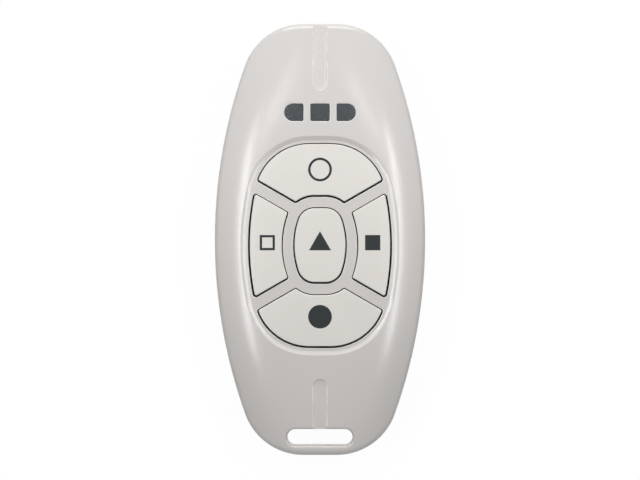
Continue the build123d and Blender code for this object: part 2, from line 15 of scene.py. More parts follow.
import bmesh
import bpy
import numpy as np
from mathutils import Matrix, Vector

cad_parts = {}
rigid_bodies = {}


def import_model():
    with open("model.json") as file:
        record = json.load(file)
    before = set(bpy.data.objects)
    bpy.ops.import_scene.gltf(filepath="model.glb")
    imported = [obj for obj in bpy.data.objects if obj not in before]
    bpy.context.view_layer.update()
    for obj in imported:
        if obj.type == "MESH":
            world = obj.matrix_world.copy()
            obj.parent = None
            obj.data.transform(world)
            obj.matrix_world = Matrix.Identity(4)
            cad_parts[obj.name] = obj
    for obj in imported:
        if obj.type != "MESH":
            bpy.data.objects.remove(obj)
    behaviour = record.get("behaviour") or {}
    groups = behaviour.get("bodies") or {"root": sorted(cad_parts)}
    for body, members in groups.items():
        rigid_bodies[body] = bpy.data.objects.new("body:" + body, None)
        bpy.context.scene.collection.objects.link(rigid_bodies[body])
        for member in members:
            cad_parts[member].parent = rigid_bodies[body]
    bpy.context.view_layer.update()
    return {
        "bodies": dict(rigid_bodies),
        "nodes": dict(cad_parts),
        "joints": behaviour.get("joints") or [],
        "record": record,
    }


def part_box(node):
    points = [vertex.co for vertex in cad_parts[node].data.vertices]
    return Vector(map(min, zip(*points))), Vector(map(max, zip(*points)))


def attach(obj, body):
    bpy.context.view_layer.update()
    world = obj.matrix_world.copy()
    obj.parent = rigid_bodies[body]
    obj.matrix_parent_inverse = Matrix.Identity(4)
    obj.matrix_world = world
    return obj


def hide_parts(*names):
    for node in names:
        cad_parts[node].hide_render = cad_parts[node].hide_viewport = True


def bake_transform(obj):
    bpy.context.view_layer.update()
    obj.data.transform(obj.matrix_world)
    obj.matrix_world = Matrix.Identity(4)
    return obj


MM = 0.001
WELD = 1e-6  # metres within which two points become one
SLIVER = 1e-7  # metres below which an edge is dropped
TINY = 1e-6  # keeps a length that something is divided by away from zero
NEAR = 0.012  # millimetres by which a place may miss the face that it lies on
STRAIGHT = 0.15  # part of a normal below which the face doesn't lean that way
WHITE = (1.0, 1.0, 1.0, 1.0)

Shade = tuple[int, int, int]
Point = tuple[float, float, float]

log = logging.getLogger("remote")


def linear(shade: Shade, gain: float = 1.0) -> tuple[float, float, float, float]:
    """Turns a screen colour into the linear one that a shader takes.

    Args:
        shade: Red, green and blue from 0 to 255.
        gain: Factor on the linear values.

    Returns:
        Linear red, green and blue, and an alpha of 1.
    """
    parts = [value / 255 for value in shade]
    bent = [((v + 0.055) / 1.055) ** 2.4 if v > 0.04045 else v / 12.92 for v in parts]
    return (*[min(1.0, gain * v) for v in bent], 1.0)


def unit(rows: np.ndarray) -> np.ndarray:
    """Vectors, one in each row, brought to length one."""
    return rows / np.maximum(np.linalg.norm(rows, axis=1, keepdims=True), TINY)


def vectors(items: bpy.types.bpy_prop_collection, name: str) -> np.ndarray:
    """Reads one vector of every item of a mesh.

    Args:
        items: Its vertices, corners or faces.
        name: Name of the vector.

    Returns:
        One vector in each row.
    """
    found = np.zeros(len(items) * 3)
    items.foreach_get(name, found)
    return found.reshape(-1, 3)


def placed(name: str, data: bpy.types.ID) -> bpy.types.Object:
    """Puts a mesh, lamp or camera into the scene.

    Args:
        name: Name of its object.
        data: The mesh, lamp or camera.

    Returns:
        The new object.
    """
    thing = bpy.data.objects.new(name, data)
    bpy.context.scene.collection.objects.link(thing)
    return thing


def meshed(work: bmesh.types.BMesh, name: str, crease: float | None = None) -> bpy.types.Mesh:
    """Turns finished work into a mesh.

    Args:
        work: The work, which is freed.
        name: Name of the mesh.
        crease: Angle in degrees above which an edge stays sharp, or none to leave the shading alone.

    Returns:
        The mesh.
    """
    mesh = bpy.data.meshes.new(name)
    work.to_mesh(mesh)
    work.free()
    if crease is not None:
        mesh.shade_smooth()
        mesh.set_sharp_from_angle(angle=math.radians(crease))
    return mesh


class NodeBench:
    """Lays out the nodes of one tree and joins them."""

    def __init__(self, tree: bpy.types.NodeTree) -> None:
        """Starts work on a tree.

        Args:
            tree: Shader or geometry tree that gets the nodes.
        """
        self.tree = tree

    def feed(self, socket: bpy.types.NodeSocket, value: object) -> None:
        """Joins an output to an input, or writes a constant there.

        Args:
            socket: The input.
            value: A node, an output socket, a list of them, or a constant.
        """
        for item in value if isinstance(value, list) else [value]:
            source = item.outputs[0] if isinstance(item, bpy.types.Node) else item
            if isinstance(source, bpy.types.NodeSocket):
                self.tree.links.new(source, socket)
            else:
                socket.default_value = source

    def add(self, kind: str, inputs: dict | None = None, **settings: object) -> bpy.types.Node:
        """Adds a node.

        Args:
            kind: Type name of the node.
            inputs: What goes into each input, by name or number.
            **settings: Properties of the node itself.

        Returns:
            The new node.
        """
        node = self.tree.nodes.new(kind)
        for name, value in settings.items():
            setattr(node, name, value)
        for key, value in (inputs or {}).items():
            self.feed(node.inputs[key], value)
        return node

    def math(self, operation: str, *values: object) -> bpy.types.NodeSocket:
        """Result of one sum on sockets or numbers."""
        return self.add("ShaderNodeMath", dict(enumerate(values)), operation=operation).outputs[0]

    def remap(
        self, value: object, low: float, high: float, to_low: float, to_high: float
    ) -> bpy.types.NodeSocket:
        """Value moved smoothly from one span to another and held at its ends."""
        spans = {0: value, 1: low, 2: high, 3: to_low, 4: to_high}
        return self.add("ShaderNodeMapRange", spans, interpolation_type="SMOOTHSTEP").outputs[0]

    def vector(self, x: object = 0.0, y: object = 0.0, z: object = 0.0) -> bpy.types.NodeSocket:
        """Vector of three numbers or sockets."""
        return self.add("ShaderNodeCombineXYZ", {0: x, 1: y, 2: z}).outputs[0]

    def split(self, vector: object) -> Sequence[bpy.types.NodeSocket]:
        """Three parts of a vector."""
        return self.add("ShaderNodeSeparateXYZ", {0: vector}).outputs

    def on_vectors(self, operation: str, *values: object, out: int = 0) -> bpy.types.NodeSocket:
        """Result of one sum on vectors, which is a vector in output 0 or a number in output 1."""
        return self.add("ShaderNodeVectorMath", dict(enumerate(values)), operation=operation).outputs[out]


class SurfaceBench(NodeBench):
    """Bench for a material, with the patterns that the finishes share."""

    def __init__(self, tree: bpy.types.NodeTree) -> None:
        """Clears the tree and sets up the shader and the coordinates in millimetres.

        Args:
            tree: The material's tree.
        """
        super().__init__(tree)
        tree.nodes.clear()
        self.shader = self.add("ShaderNodeBsdfPrincipled")
        self.add("ShaderNodeOutputMaterial", {"Surface": self.shader})
        self.place = self.add("ShaderNodeTexCoord").outputs["Object"]
        self.spot = self.stretched((1.0, 1.0, 1.0))

    def set(self, **constants: object) -> None:
        """Writes or joins inputs of the shader, with underscores for the spaces in their names."""
        for name, value in constants.items():
            self.feed(self.shader.inputs[name.replace("_", " ")], value)

    def stretched(self, per_mm: Point, center: Point = (0.0, 0.0, 0.0)) -> bpy.types.NodeSocket:
        """Coordinates measured from a centre.

        Args:
            per_mm: Pattern units per millimetre on each axis.
            center: Point in millimetres that becomes the origin.

        Returns:
            The vector output.
        """
        scale = tuple(v / MM for v in per_mm)
        shift = tuple(-c * v for c, v in zip(center, per_mm))
        inputs = {"Vector": self.place, "Scale": scale, "Location": shift}
        return self.add("ShaderNodeMapping", inputs).outputs[0]

    def noise(
        self, per_mm: float, detail: float = 2.0, rough: float = 0.5, where: object = None
    ) -> bpy.types.NodeSocket:
        """Cloudy pattern, from 0 to 1.

        Args:
            per_mm: Waves in a millimetre.
            detail: Number of finer layers.
            rough: Strength of the finer layers.
            where: Coordinates to lay it on, or none for plain millimetres.

        Returns:
            The pattern.
        """
        inputs = {"Vector": where or self.spot, "Scale": per_mm, "Detail": detail, "Roughness": rough}
        return self.add("ShaderNodeTexNoise", inputs).outputs[0]

    def cells(self, per_mm: float, feature: str = "F1") -> bpy.types.NodeSocket:
        """Distance pattern of scattered cells."""
        inputs = {"Vector": self.spot, "Scale": per_mm}
        return self.add("ShaderNodeTexVoronoi", inputs, feature=feature).outputs[0]

    def chance(self, where: object, dimensions: str = "3D") -> bpy.types.NodeSocket:
        """Random value from 0 to 1, the same one wherever the place is the same."""
        inputs = {"Vector": where}
        return self.add("ShaderNodeTexWhiteNoise", inputs, noise_dimensions=dimensions).outputs["Value"]

    def mix(self, share: object, low: object, high: object) -> bpy.types.NodeSocket:
        """Colour between two others."""
        inputs = {0: share, 6: low, 7: high}
        return self.add("ShaderNodeMix", inputs, data_type="RGBA").outputs[2]

    def wander(self, pattern: object, shade: Shade, low: float, high: float) -> bpy.types.NodeSocket:
        """Shade whose brightness a pattern takes from one gain to another."""
        return self.mix(pattern, linear(shade, low), linear(shade, high))

    def uneven(self, per_mm: float, low: float, high: float) -> bpy.types.NodeSocket:
        """Value that changes between two others in soft patches."""
        return self.remap(self.noise(per_mm), 0.3, 0.7, low, high)

    def relief(self, height: object, depth: float) -> bpy.types.NodeSocket:
        """Normal of a relief so many millimetres deep."""
        return self.add("ShaderNodeBump", {"Height": height, "Distance": depth * MM}).outputs[0]

    def facing_up(self) -> bpy.types.NodeSocket:
        """How far a face looks up or down, from 0 on the sides to 1 where it lies flat."""
        normal = self.add("ShaderNodeNewGeometry").outputs["Normal"]
        return self.math("ABSOLUTE", self.split(normal)[2])


@dataclass(frozen=True)
class Finish:
    """A named surface, laid down by the subclass.

    Attributes:
        name: Name of the material.
        shade: Its main screen colour.
        roughness: Its middle roughness.
    """

    name: str
    shade: Shade
    roughness: float

    def material(self) -> bpy.types.Material:
        """Makes the material at its first use.

        Returns:
            The material.
        """
        made = bpy.data.materials.get(self.name)
        if made is None:
            made = bpy.data.materials.new(self.name)
            made.use_nodes = True
            self.paint(SurfaceBench(made.node_tree))
        return made

    def paint(self, bench: SurfaceBench) -> None:
        """Lays the finish down on a bench."""
        raise NotImplementedError


@dataclass(frozen=True)
class MouldedShell(Finish):
    """Housing plastic with the fine grain of an eroded mould, worn a little smoother on its turns.

    Attributes:
        grain_per_mm: Grains along a millimetre.
        grain_depth: Depth of the grain in millimetres.
        drift: Share by which the colour wanders.
        wear: How much smoother the turns are.
        rubbing: How much smoother or rougher wide patches are.
    """

    grain_per_mm: float = 5.0
    grain_depth: float = 0.007
    drift: float = 0.007
    wear: float = 0.03
    rubbing: float = 0.012

    def paint(self, bench: SurfaceBench) -> None:
        """Lays down drifting colour, two sizes of grain and the wear on the turns.

        Args:
            bench: Bench of the material.
        """
        cloud = bench.noise(0.09, detail=3.0, rough=0.6)
        speck = bench.noise(self.grain_per_mm * 1.4, detail=1.0)
        share = bench.math("ADD", bench.math("MULTIPLY", cloud, 0.6), bench.math("MULTIPLY", speck, 0.4))
        spread = bench.remap(share, 0.1, 0.9, 0.0, 1.0)
        color = bench.wander(spread, self.shade, 1 - 2 * self.drift, 1 + 2 * self.drift)
        grain = bench.noise(self.grain_per_mm, detail=2.5, rough=0.62)
        pits = bench.cells(self.grain_per_mm * 0.8, "SMOOTH_F1")
        height = bench.math("ADD", grain, bench.math("MULTIPLY", pits, 0.5))
        worn = bench.remap(bench.facing_up(), 0.4, 0.9, -self.wear, 0.0)
        rubbed = bench.remap(bench.noise(0.12, detail=1.0), 0.1, 0.9, -self.rubbing, self.rubbing)
        rough = bench.math("ADD", bench.math("ADD", worn, rubbed), self.roughness)
        bench.set(Base_Color=color, Roughness=rough, Specular_IOR_Level=0.5)
        bench.set(Normal=bench.relief(height, self.grain_depth))


@dataclass(frozen=True)
class SatinKey(Finish):
    """Slightly see-through warm white of the caps, smoother where fingers press."""

    def paint(self, bench: SurfaceBench) -> None:
        """Lays down a soft colour drift, a very fine grain and the light that sinks in.

        Args:
            bench: Bench of the material.
        """
        bench.set(Base_Color=bench.wander(bench.noise(0.14), self.shade, 0.985, 1.015))
        bench.set(Normal=bench.relief(bench.noise(4.5), 0.006))
        bench.set(Roughness=bench.uneven(0.22, self.roughness - 0.05, self.roughness + 0.05))
        bench.set(Subsurface_Weight=0.12, Subsurface_Radius=(1.0, 0.85, 0.7), Subsurface_Scale=0.6 * MM)


@dataclass(frozen=True)
class Ink(Finish):
    """Dark ink of a symbol, let into the cap, with a faint mottle."""

    def paint(self, bench: SurfaceBench) -> None:
        """Lays down the mottled ink.

        Args:
            bench: Bench of the material.
        """
        mottle = bench.noise(2.2, detail=3.0, rough=0.6)
        bench.set(Base_Color=bench.wander(mottle, self.shade, 0.8, 1.2))
        bench.set(Normal=bench.relief(bench.noise(5.0), 0.004))
        bench.set(Roughness=self.roughness, Specular_IOR_Level=0.25)


@dataclass(frozen=True)
class SmokeLens(Finish):
    """Dark tinted window plastic with a gloss face, through which a little of the lamps shows.

    Attributes:
        clear: Share of the light that goes through.
    """

    clear: float = 0.25

    def paint(self, bench: SurfaceBench) -> None:
        """Lays down the tint, a little haze and the gloss.

        Args:
            bench: Bench of the material.
        """
        haze = bench.noise(0.7, detail=3.0, rough=0.55)
        bench.set(Base_Color=bench.wander(haze, self.shade, 0.8, 1.25))
        bench.set(Roughness=bench.uneven(1.6, self.roughness, self.roughness + 0.06))
        bench.set(Transmission_Weight=self.clear, IOR=1.49, Specular_IOR_Level=0.32)


@dataclass(frozen=True)
class Rubber(Finish):
    """Matt silicone or carbon-filled rubber with a dusty bloom.

    Attributes:
        bloom: Share of pale bloom.
        bloom_shade: Its screen colour.
    """

    bloom: float = 0.25
    bloom_shade: Shade = (120, 120, 122)

    def paint(self, bench: SurfaceBench) -> None:
        """Lays down the rubber, its bloom and a soft leathery grain.

        Args:
            bench: Bench of the material.
        """
        dust = bench.remap(bench.noise(0.6, detail=4.0, rough=0.65), 0.45, 0.8, 0.0, self.bloom)
        bench.set(Base_Color=bench.mix(dust, linear(self.shade), linear(self.bloom_shade)))
        grain = bench.math("ADD", bench.noise(3.0, detail=3.0), bench.cells(5.0))
        bench.set(Normal=bench.relief(grain, 0.012), Roughness=self.roughness)
        bench.set(Sheen_Weight=0.15, Sheen_Roughness=0.6)


class Brushing(Enum):
    """Which way the fine lines on a metal run."""

    NONE = "none"
    ALONG_X = "along x"
    ALONG_Y = "along y"
    ROUND = "round"


@dataclass(frozen=True)
class Metal(Finish):
    """Plated, drawn or turned metal with fine lines and a few stains.

    Attributes:
        brushing: Way of its lines.
        center: Point in millimetres that round lines go about.
    """

    brushing: Brushing = Brushing.NONE
    center: Point = (0.0, 0.0, 0.0)

    def lines(self, bench: SurfaceBench) -> bpy.types.NodeSocket:
        """Pattern of the fine lines.

        Args:
            bench: Bench of the material.

        Returns:
            The pattern, from 0 to 1.
        """
        if self.brushing is Brushing.ROUND:
            ring = bench.on_vectors("LENGTH", bench.stretched((1.0, 1.0, 0.0), self.center), out=1)
            return bench.noise(6.0, where=bench.vector(ring))
        across = {
            Brushing.ALONG_X: (0.25, 9.0, 9.0),
            Brushing.ALONG_Y: (9.0, 0.25, 9.0),
            Brushing.NONE: (3.0, 3.0, 3.0),
        }[self.brushing]
        return bench.noise(1.0, where=bench.stretched(across))

    def paint(self, bench: SurfaceBench) -> None:
        """Lays down the metal, its lines and its stains.

        Args:
            bench: Bench of the material.
        """
        lines = self.lines(bench)
        stain = bench.remap(bench.noise(0.35, detail=4.0, rough=0.65), 0.45, 0.75, 0.0, 0.35)
        bench.set(Base_Color=bench.wander(stain, self.shade, 1.0, 0.72), Metallic=1.0)
        spread = bench.remap(lines, 0.25, 0.75, self.roughness - 0.06, self.roughness + 0.1)
        bench.set(Roughness=spread, Normal=bench.relief(lines, 0.004))


@dataclass(frozen=True)
class SolderMask(Finish):
    """Lacquered glass-fibre board with tracks under the lacquer and bare fibre at its edges.

    Attributes:
        pitch: Distance between neighbouring tracks in millimetres.
        run: Length in millimetres after which a track may end.
        track: Width of a track in millimetres.
        untracked: Share of the runs without a track.
        via: Radius in millimetres of a through-contact, a small tinned hole.
        undrilled: Share of the places without a through-contact.
        tin: Screen colour of the through-contacts.
        fibre: Screen colour of the cut edge.
    """

    pitch: float = 0.9
    run: float = 4.5
    track: float = 0.3
    untracked: float = 0.52
    via: float = 0.3
    undrilled: float = 0.78
    tin: Shade = (206, 196, 160)
    fibre: Shade = (188, 172, 118)

    def tracks(self, bench: SurfaceBench, along: int) -> bpy.types.NodeSocket:
        """Straight tracks in one direction, which start and end at the knots of a grid.

        Args:
            bench: Bench of the material.
            along: Axis that they run along, 0 or 1.

        Returns:
            1 on a track and 0 beside it.
        """
        place = bench.split(bench.spot)
        ahead, aside = place[along], place[1 - along]
        knot = bench.math("SNAP", ahead, self.run)
        lane = bench.math("SNAP", aside, self.pitch)
        chance = bench.chance(bench.vector(knot, lane, float(along)))
        laid = bench.math("GREATER_THAN", chance, self.untracked)
        inside = bench.math("SUBTRACT", aside, lane)
        off_center = bench.math("ABSOLUTE", bench.math("SUBTRACT", inside, self.pitch / 2))
        line = bench.remap(off_center, self.track / 2, self.track / 2 + 0.05, 1.0, 0.0)
        return bench.math("MULTIPLY", line, laid)

    def vias(self, bench: SurfaceBench) -> bpy.types.NodeSocket:
        """Small round through-contacts, scattered over every second lane.

        Args:
            bench: Bench of the material.

        Returns:
            1 on a through-contact and 0 beside it.
        """
        step = 2 * self.pitch
        plan = bench.stretched((1.0, 1.0, 0.0))
        corner = bench.on_vectors("SNAP", plan, (step, step, 1.0))
        middle = bench.on_vectors("ADD", corner, (step / 2, step / 2, 0.0))
        away = bench.on_vectors("DISTANCE", plan, middle, out=1)
        ring = bench.remap(away, self.via, self.via * 1.2, 1.0, 0.0)
        drilled = bench.math("GREATER_THAN", bench.chance(corner, "2D"), self.undrilled)
        return bench.math("MULTIPLY", ring, drilled)

    def paint(self, bench: SurfaceBench) -> None:
        """Lays down the lacquer, the tracks, the weave and the cut edge.

        Args:
            bench: Bench of the material.
        """
        track = bench.math("MAXIMUM", self.tracks(bench, 0), self.tracks(bench, 1))
        via = self.vias(bench)
        ways = ((2.4, 0.2, 1.0), (0.2, 2.4, 1.0))
        weave = bench.math("ADD", *[bench.noise(1.0, 0.0, where=bench.stretched(way)) for way in ways])
        lacquer = bench.wander(bench.remap(weave, 0.8, 1.2, 0.0, 0.5), self.shade, 1.0, 1.4)
        covered = bench.mix(track, lacquer, linear(self.shade, 1.9))
        face = bench.mix(via, covered, linear(self.tin))
        flat = bench.remap(bench.facing_up(), 0.3, 0.6, 0.0, 1.0)
        height = bench.math("ADD", bench.math("MAXIMUM", track, via), bench.math("MULTIPLY", weave, 0.25))
        bench.set(Base_Color=bench.mix(flat, linear(self.fibre), face), Normal=bench.relief(height, 0.03))
        bench.set(Roughness=bench.uneven(0.5, self.roughness, self.roughness + 0.12))
        bench.set(Coat_Weight=0.4, Coat_Roughness=0.2)


@dataclass(frozen=True)
class Compound(Finish):
    """Filled moulding compound or fired ceramic: matt, finely pitted, with a faint swirl."""

    def paint(self, bench: SurfaceBench) -> None:
        """Lays down the swirl and the pits.

        Args:
            bench: Bench of the material.
        """
        swirl = bench.noise(0.9, detail=4.0, rough=0.6)
        bench.set(Base_Color=bench.wander(swirl, self.shade, 0.75, 1.25))
        pits = bench.math("ADD", bench.noise(6.0, detail=3.0, rough=0.7), bench.cells(9.0))
        bench.set(Normal=bench.relief(pits, 0.008), Roughness=self.roughness)


@dataclass(frozen=True)
class LampResin(Finish):
    """Tinted clear resin of a small lamp, milky inside."""

    def paint(self, bench: SurfaceBench) -> None:
        """Lays down the tint and the milkiness.

        Args:
            bench: Bench of the material.
        """
        milk = bench.noise(1.8, detail=3.0, rough=0.6)
        bench.set(Base_Color=bench.wander(milk, self.shade, 1.0, 1.3))
        bench.set(Transmission_Weight=0.45, IOR=1.52, Subsurface_Weight=0.2, Subsurface_Scale=0.4 * MM)
        bench.set(Roughness=bench.uneven(3.0, self.roughness, self.roughness + 0.08))


class Palette:
    """Finishes of the remote, each under the plain name of what it covers."""

    front = MouldedShell("front_shell_grain", (220, 216, 213), 0.195)
    rear = MouldedShell("rear_shell_grain", (217, 213, 211), 0.38, grain_per_mm=4.0, grain_depth=0.02)
    # Smoother, finer-grained plastic of the soft edges, painted paler than the shell as a highlight.
    edge = MouldedShell("front_shell_edge_painted_highlight", (252, 249, 246), 0.16, grain_depth=0.004)
    key = SatinKey("key_cap_satin", (236, 233, 227), 0.34)
    # Dark finish for the caps' sides deep in their openings: painted shade that darkens the gaps round the
    # keys.
    painted_gap_shade = Rubber("key_cap_painted_gap_shade", (30, 29, 28), 0.6, bloom=0.1)
    ink = Ink("symbol_ink", (36, 41, 43), 0.5)
    lens = SmokeLens("smoke_window", (73, 80, 84), 0.22)
    mat = Rubber("keypad_rubber", (34, 34, 36), 0.78)
    plunger = Rubber("plunger_rubber", (74, 75, 78), 0.7, bloom=0.35)
    carbon = Rubber("carbon_pill", (24, 24, 25), 0.6, bloom=0.12)
    board = SolderMask("board_lacquer", (20, 84, 52), 0.34)
    gold = Metal("pad_gold", (226, 188, 104), 0.28)
    copper = Metal("antenna_copper", (206, 126, 84), 0.3, Brushing.ALONG_Y)
    cell = Metal("cell_steel", (196, 196, 192), 0.24, Brushing.ROUND, (0.0, -2.0, 0.0))
    spring = Metal("contact_nickel", (204, 198, 184), 0.26, Brushing.ALONG_X)
    screw = Metal("screw_zinc", (176, 178, 182), 0.3)
    can = Metal("crystal_can", (206, 206, 204), 0.22, Brushing.ALONG_X)
    solder = Metal("solder_tin", (200, 201, 203), 0.2)
    epoxy = Compound("chip_epoxy", (36, 36, 38), 0.55)
    ceramic = Compound("capacitor_ceramic", (168, 138, 104), 0.5)
    resistor = Compound("resistor_glaze", (30, 30, 34), 0.35)


@dataclass(frozen=True)
class HousingForm:
    """The rules that the faces of the housing follow, as heights over the plan in millimetres.

    Attributes:
        length: Length of the outline.
        width: Width of the outline.
        corner_radius: Radius of its corners.
        end_flat: Length of the straight line at each end.
        crown_height: Height of the front face in the middle.
        crown_end_drop: How far it falls towards the ends.
        shoulder_drop: How far it falls towards the sides.
        shoulder_power_middle: Power of that fall half-way along, where it comes late and sharply.
        shoulder_power_end: Power of that fall at the ends.
        belly_end_rise: How far the back face rises towards the ends.
        belly_side_rise: How far it rises towards the sides.
        belly_sink: How far its middle would lie under the flat that the remote rests on.
        belly_power: Power of the rise towards the sides.
    """

    length: float = 78.0
    width: float = 38.0
    corner_radius: float = 11.096
    end_flat: float = 6.194
    crown_height: float = 16.2
    crown_end_drop: float = 5.07
    shoulder_drop: float = 2.7
    shoulder_power_middle: float = 4.0
    shoulder_power_end: float = 2.6
    belly_end_rise: float = 6.084
    belly_side_rise: float = 3.4
    belly_sink: float = 0.6
    belly_power: float = 3.0

    def side_radius(self) -> float:
        """Radius of the long side arcs."""
        reach, rise = (self.width - self.end_flat) / 2, self.length / 2 - self.corner_radius
        return (reach**2 + rise**2 - self.corner_radius**2) / (2 * (reach - self.corner_radius))

    def half_width(self, y: np.ndarray) -> np.ndarray:
        """Half the width between the side arcs."""
        radius = self.side_radius()
        return self.width / 2 - radius + np.sqrt(radius**2 - y**2)

    def inset(self, x: np.ndarray, y: np.ndarray) -> np.ndarray:
        """How far places lie inside the outline.

        Args:
            x: Places across, in millimetres.
            y: Places along, in millimetres.

        Returns:
            Distances to the outline in millimetres, true near it.
        """
        radius, rise = self.side_radius(), self.length / 2 - self.corner_radius
        aside, ahead = np.abs(x) - self.end_flat / 2, np.abs(y) - rise
        side_middle = self.width / 2 - radius
        side = radius - np.hypot(np.abs(x) - side_middle, y)
        corner = self.corner_radius - np.hypot(aside, ahead)
        past_side = (self.end_flat / 2 - side_middle) * ahead > rise * aside
        return np.where(aside < 0, self.length / 2 - np.abs(y), np.where(past_side, corner, side))

    def front(self, x: np.ndarray, y: np.ndarray) -> np.ndarray:
        """Rule of the front face.

        Args:
            x: Places across, in millimetres.
            y: Places along, in millimetres.

        Returns:
            Heights in millimetres.
        """
        along = y / (self.length / 2)
        power = self.shoulder_power_middle + (self.shoulder_power_end - self.shoulder_power_middle) * along**2
        across = np.abs(x) / self.half_width(y)
        return self.crown_height - self.crown_end_drop * along**2 - self.shoulder_drop * across**power

    def back(self, x: np.ndarray, y: np.ndarray) -> np.ndarray:
        """Rule of the back face.

        Args:
            x: Places across, in millimetres.
            y: Places along, in millimetres.

        Returns:
            Heights in millimetres.
        """
        along = y / (self.length / 2)
        across = np.abs(x) / self.half_width(y)
        rise = self.belly_end_rise * along**2 + self.belly_side_rise * across**self.belly_power
        return rise - self.belly_sink


@dataclass(frozen=True)
class Rim:
    """Rounding where an opening with upright walls cuts a ruled face, in millimetres.

    Attributes:
        ALIKE: Least cosine between the true normal and the mesh's own.
        BEFORE: How far the fall may lie before the start of the rounding, in radii.
        BEYOND: How far it may lie beyond the end, in radii.
        radius: Radius of the rounding.
        middle: Middle of the area on the plan that holds it.
        half: Half the width and length of that area.
        depth: How deep under the ruled face it starts.
        round_ends: Whether the area has round ends at the sides.
    """

    ALIKE: ClassVar[float] = math.cos(math.radians(35))
    BEFORE: ClassVar[float] = 0.05
    BEYOND: ClassVar[float] = 0.03

    radius: float
    middle: tuple[float, float] = (0.0, 0.0)
    half: tuple[float, float] = (0.0, 0.0)
    depth: float = 0.0
    round_ends: bool = False

    def holds(self, places: np.ndarray) -> np.ndarray:
        """Looks for the places over its area.

        Args:
            places: One place in each row, in millimetres.

        Returns:
            Which of them lie over it.
        """
        aside, ahead = np.abs(places[:, :2] - self.middle).T
        if self.round_ends:
            return np.hypot(np.maximum(aside - self.half[0] + self.half[1], 0.0), ahead) < self.half[1]
        return (aside < self.half[0]) & (ahead < self.half[1])

    def turned(
        self, depths: np.ndarray, rough: np.ndarray, flat: np.ndarray
    ) -> tuple[np.ndarray, np.ndarray]:
        """True normals on the rounding, which turn from the ruled face to the wall.

        Args:
            depths: How deep the places lie under the ruled face.
            rough: Normals that the mesh gives there, which tell the way to the opening.
            flat: Normals of the ruled face over them.

        Returns:
            One unit normal in each row, and which rows lie on the rounding and agree roughly with the mesh.
        """
        fall = (depths - self.depth) * np.abs(flat[:, 2]) / self.radius
        aside = unit(rough - np.sum(rough * flat, axis=1, keepdims=True) * flat)
        level = unit(rough * (1.0, 1.0, 0.0))
        foot = 1.0 - np.sum(level * flat, axis=1)
        turn = np.arccos(np.clip(1.0 - fall, -1.0, 1.0))[:, None]
        found = np.cos(turn) * flat + np.sin(turn) * aside
        alike = np.sum(found * rough, axis=1) > self.ALIKE
        return found, alike & (fall > -self.BEFORE) & (fall < foot + self.BEYOND)


@dataclass(frozen=True)
class OuterRim(Rim):
    """The same kind of rounding along the outline of the housing.

    Attributes:
        REACH: Width of the band along the outline that holds it, in radii.
        form: Form of the housing.
    """

    REACH: ClassVar[float] = 1.3

    form: HousingForm = field(default_factory=HousingForm)

    def holds(self, places: np.ndarray) -> np.ndarray:
        """Which places lie near the outline."""
        return self.form.inset(places[:, 0], places[:, 1]) < self.radius * self.REACH


@dataclass(frozen=True)
class RuledFace:
    """A face of the housing, and how deep under it the same face comes back on other pieces.

    Attributes:
        rule: Height over the plan.
        side: 1 where the face looks up and -1 where it looks down.
        depths: Depths in millimetres at which it is met.
        rims: Roundings that start on it.
    """

    rule: Callable[[np.ndarray, np.ndarray], np.ndarray]
    side: int
    depths: tuple[float, ...]
    rims: tuple[Rim, ...] = ()

    def normals(self, x: np.ndarray, y: np.ndarray) -> np.ndarray:
        """True normals at places on the face.

        Args:
            x: Places across, in millimetres.
            y: Places along, in millimetres.

        Returns:
            One unit normal in each row.
        """
        step = 0.01
        fall_x = (self.rule(x + step, y) - self.rule(x - step, y)) / (2 * step)
        fall_y = (self.rule(x, y + step) - self.rule(x, y - step)) / (2 * step)
        return unit(np.stack([-fall_x, -fall_y, np.ones_like(x)], 1) * self.side)

    def depth(self, places: np.ndarray) -> np.ndarray:
        """How deep places lie under the face, in millimetres."""
        return self.side * (self.rule(places[:, 0], places[:, 1]) - places[:, 2])

    def meets(self, places: np.ndarray) -> np.ndarray:
        """Which places lie on the face at one of its depths."""
        gap = self.depth(places)
        return np.any([np.abs(gap - depth) < NEAR for depth in self.depths], axis=0)


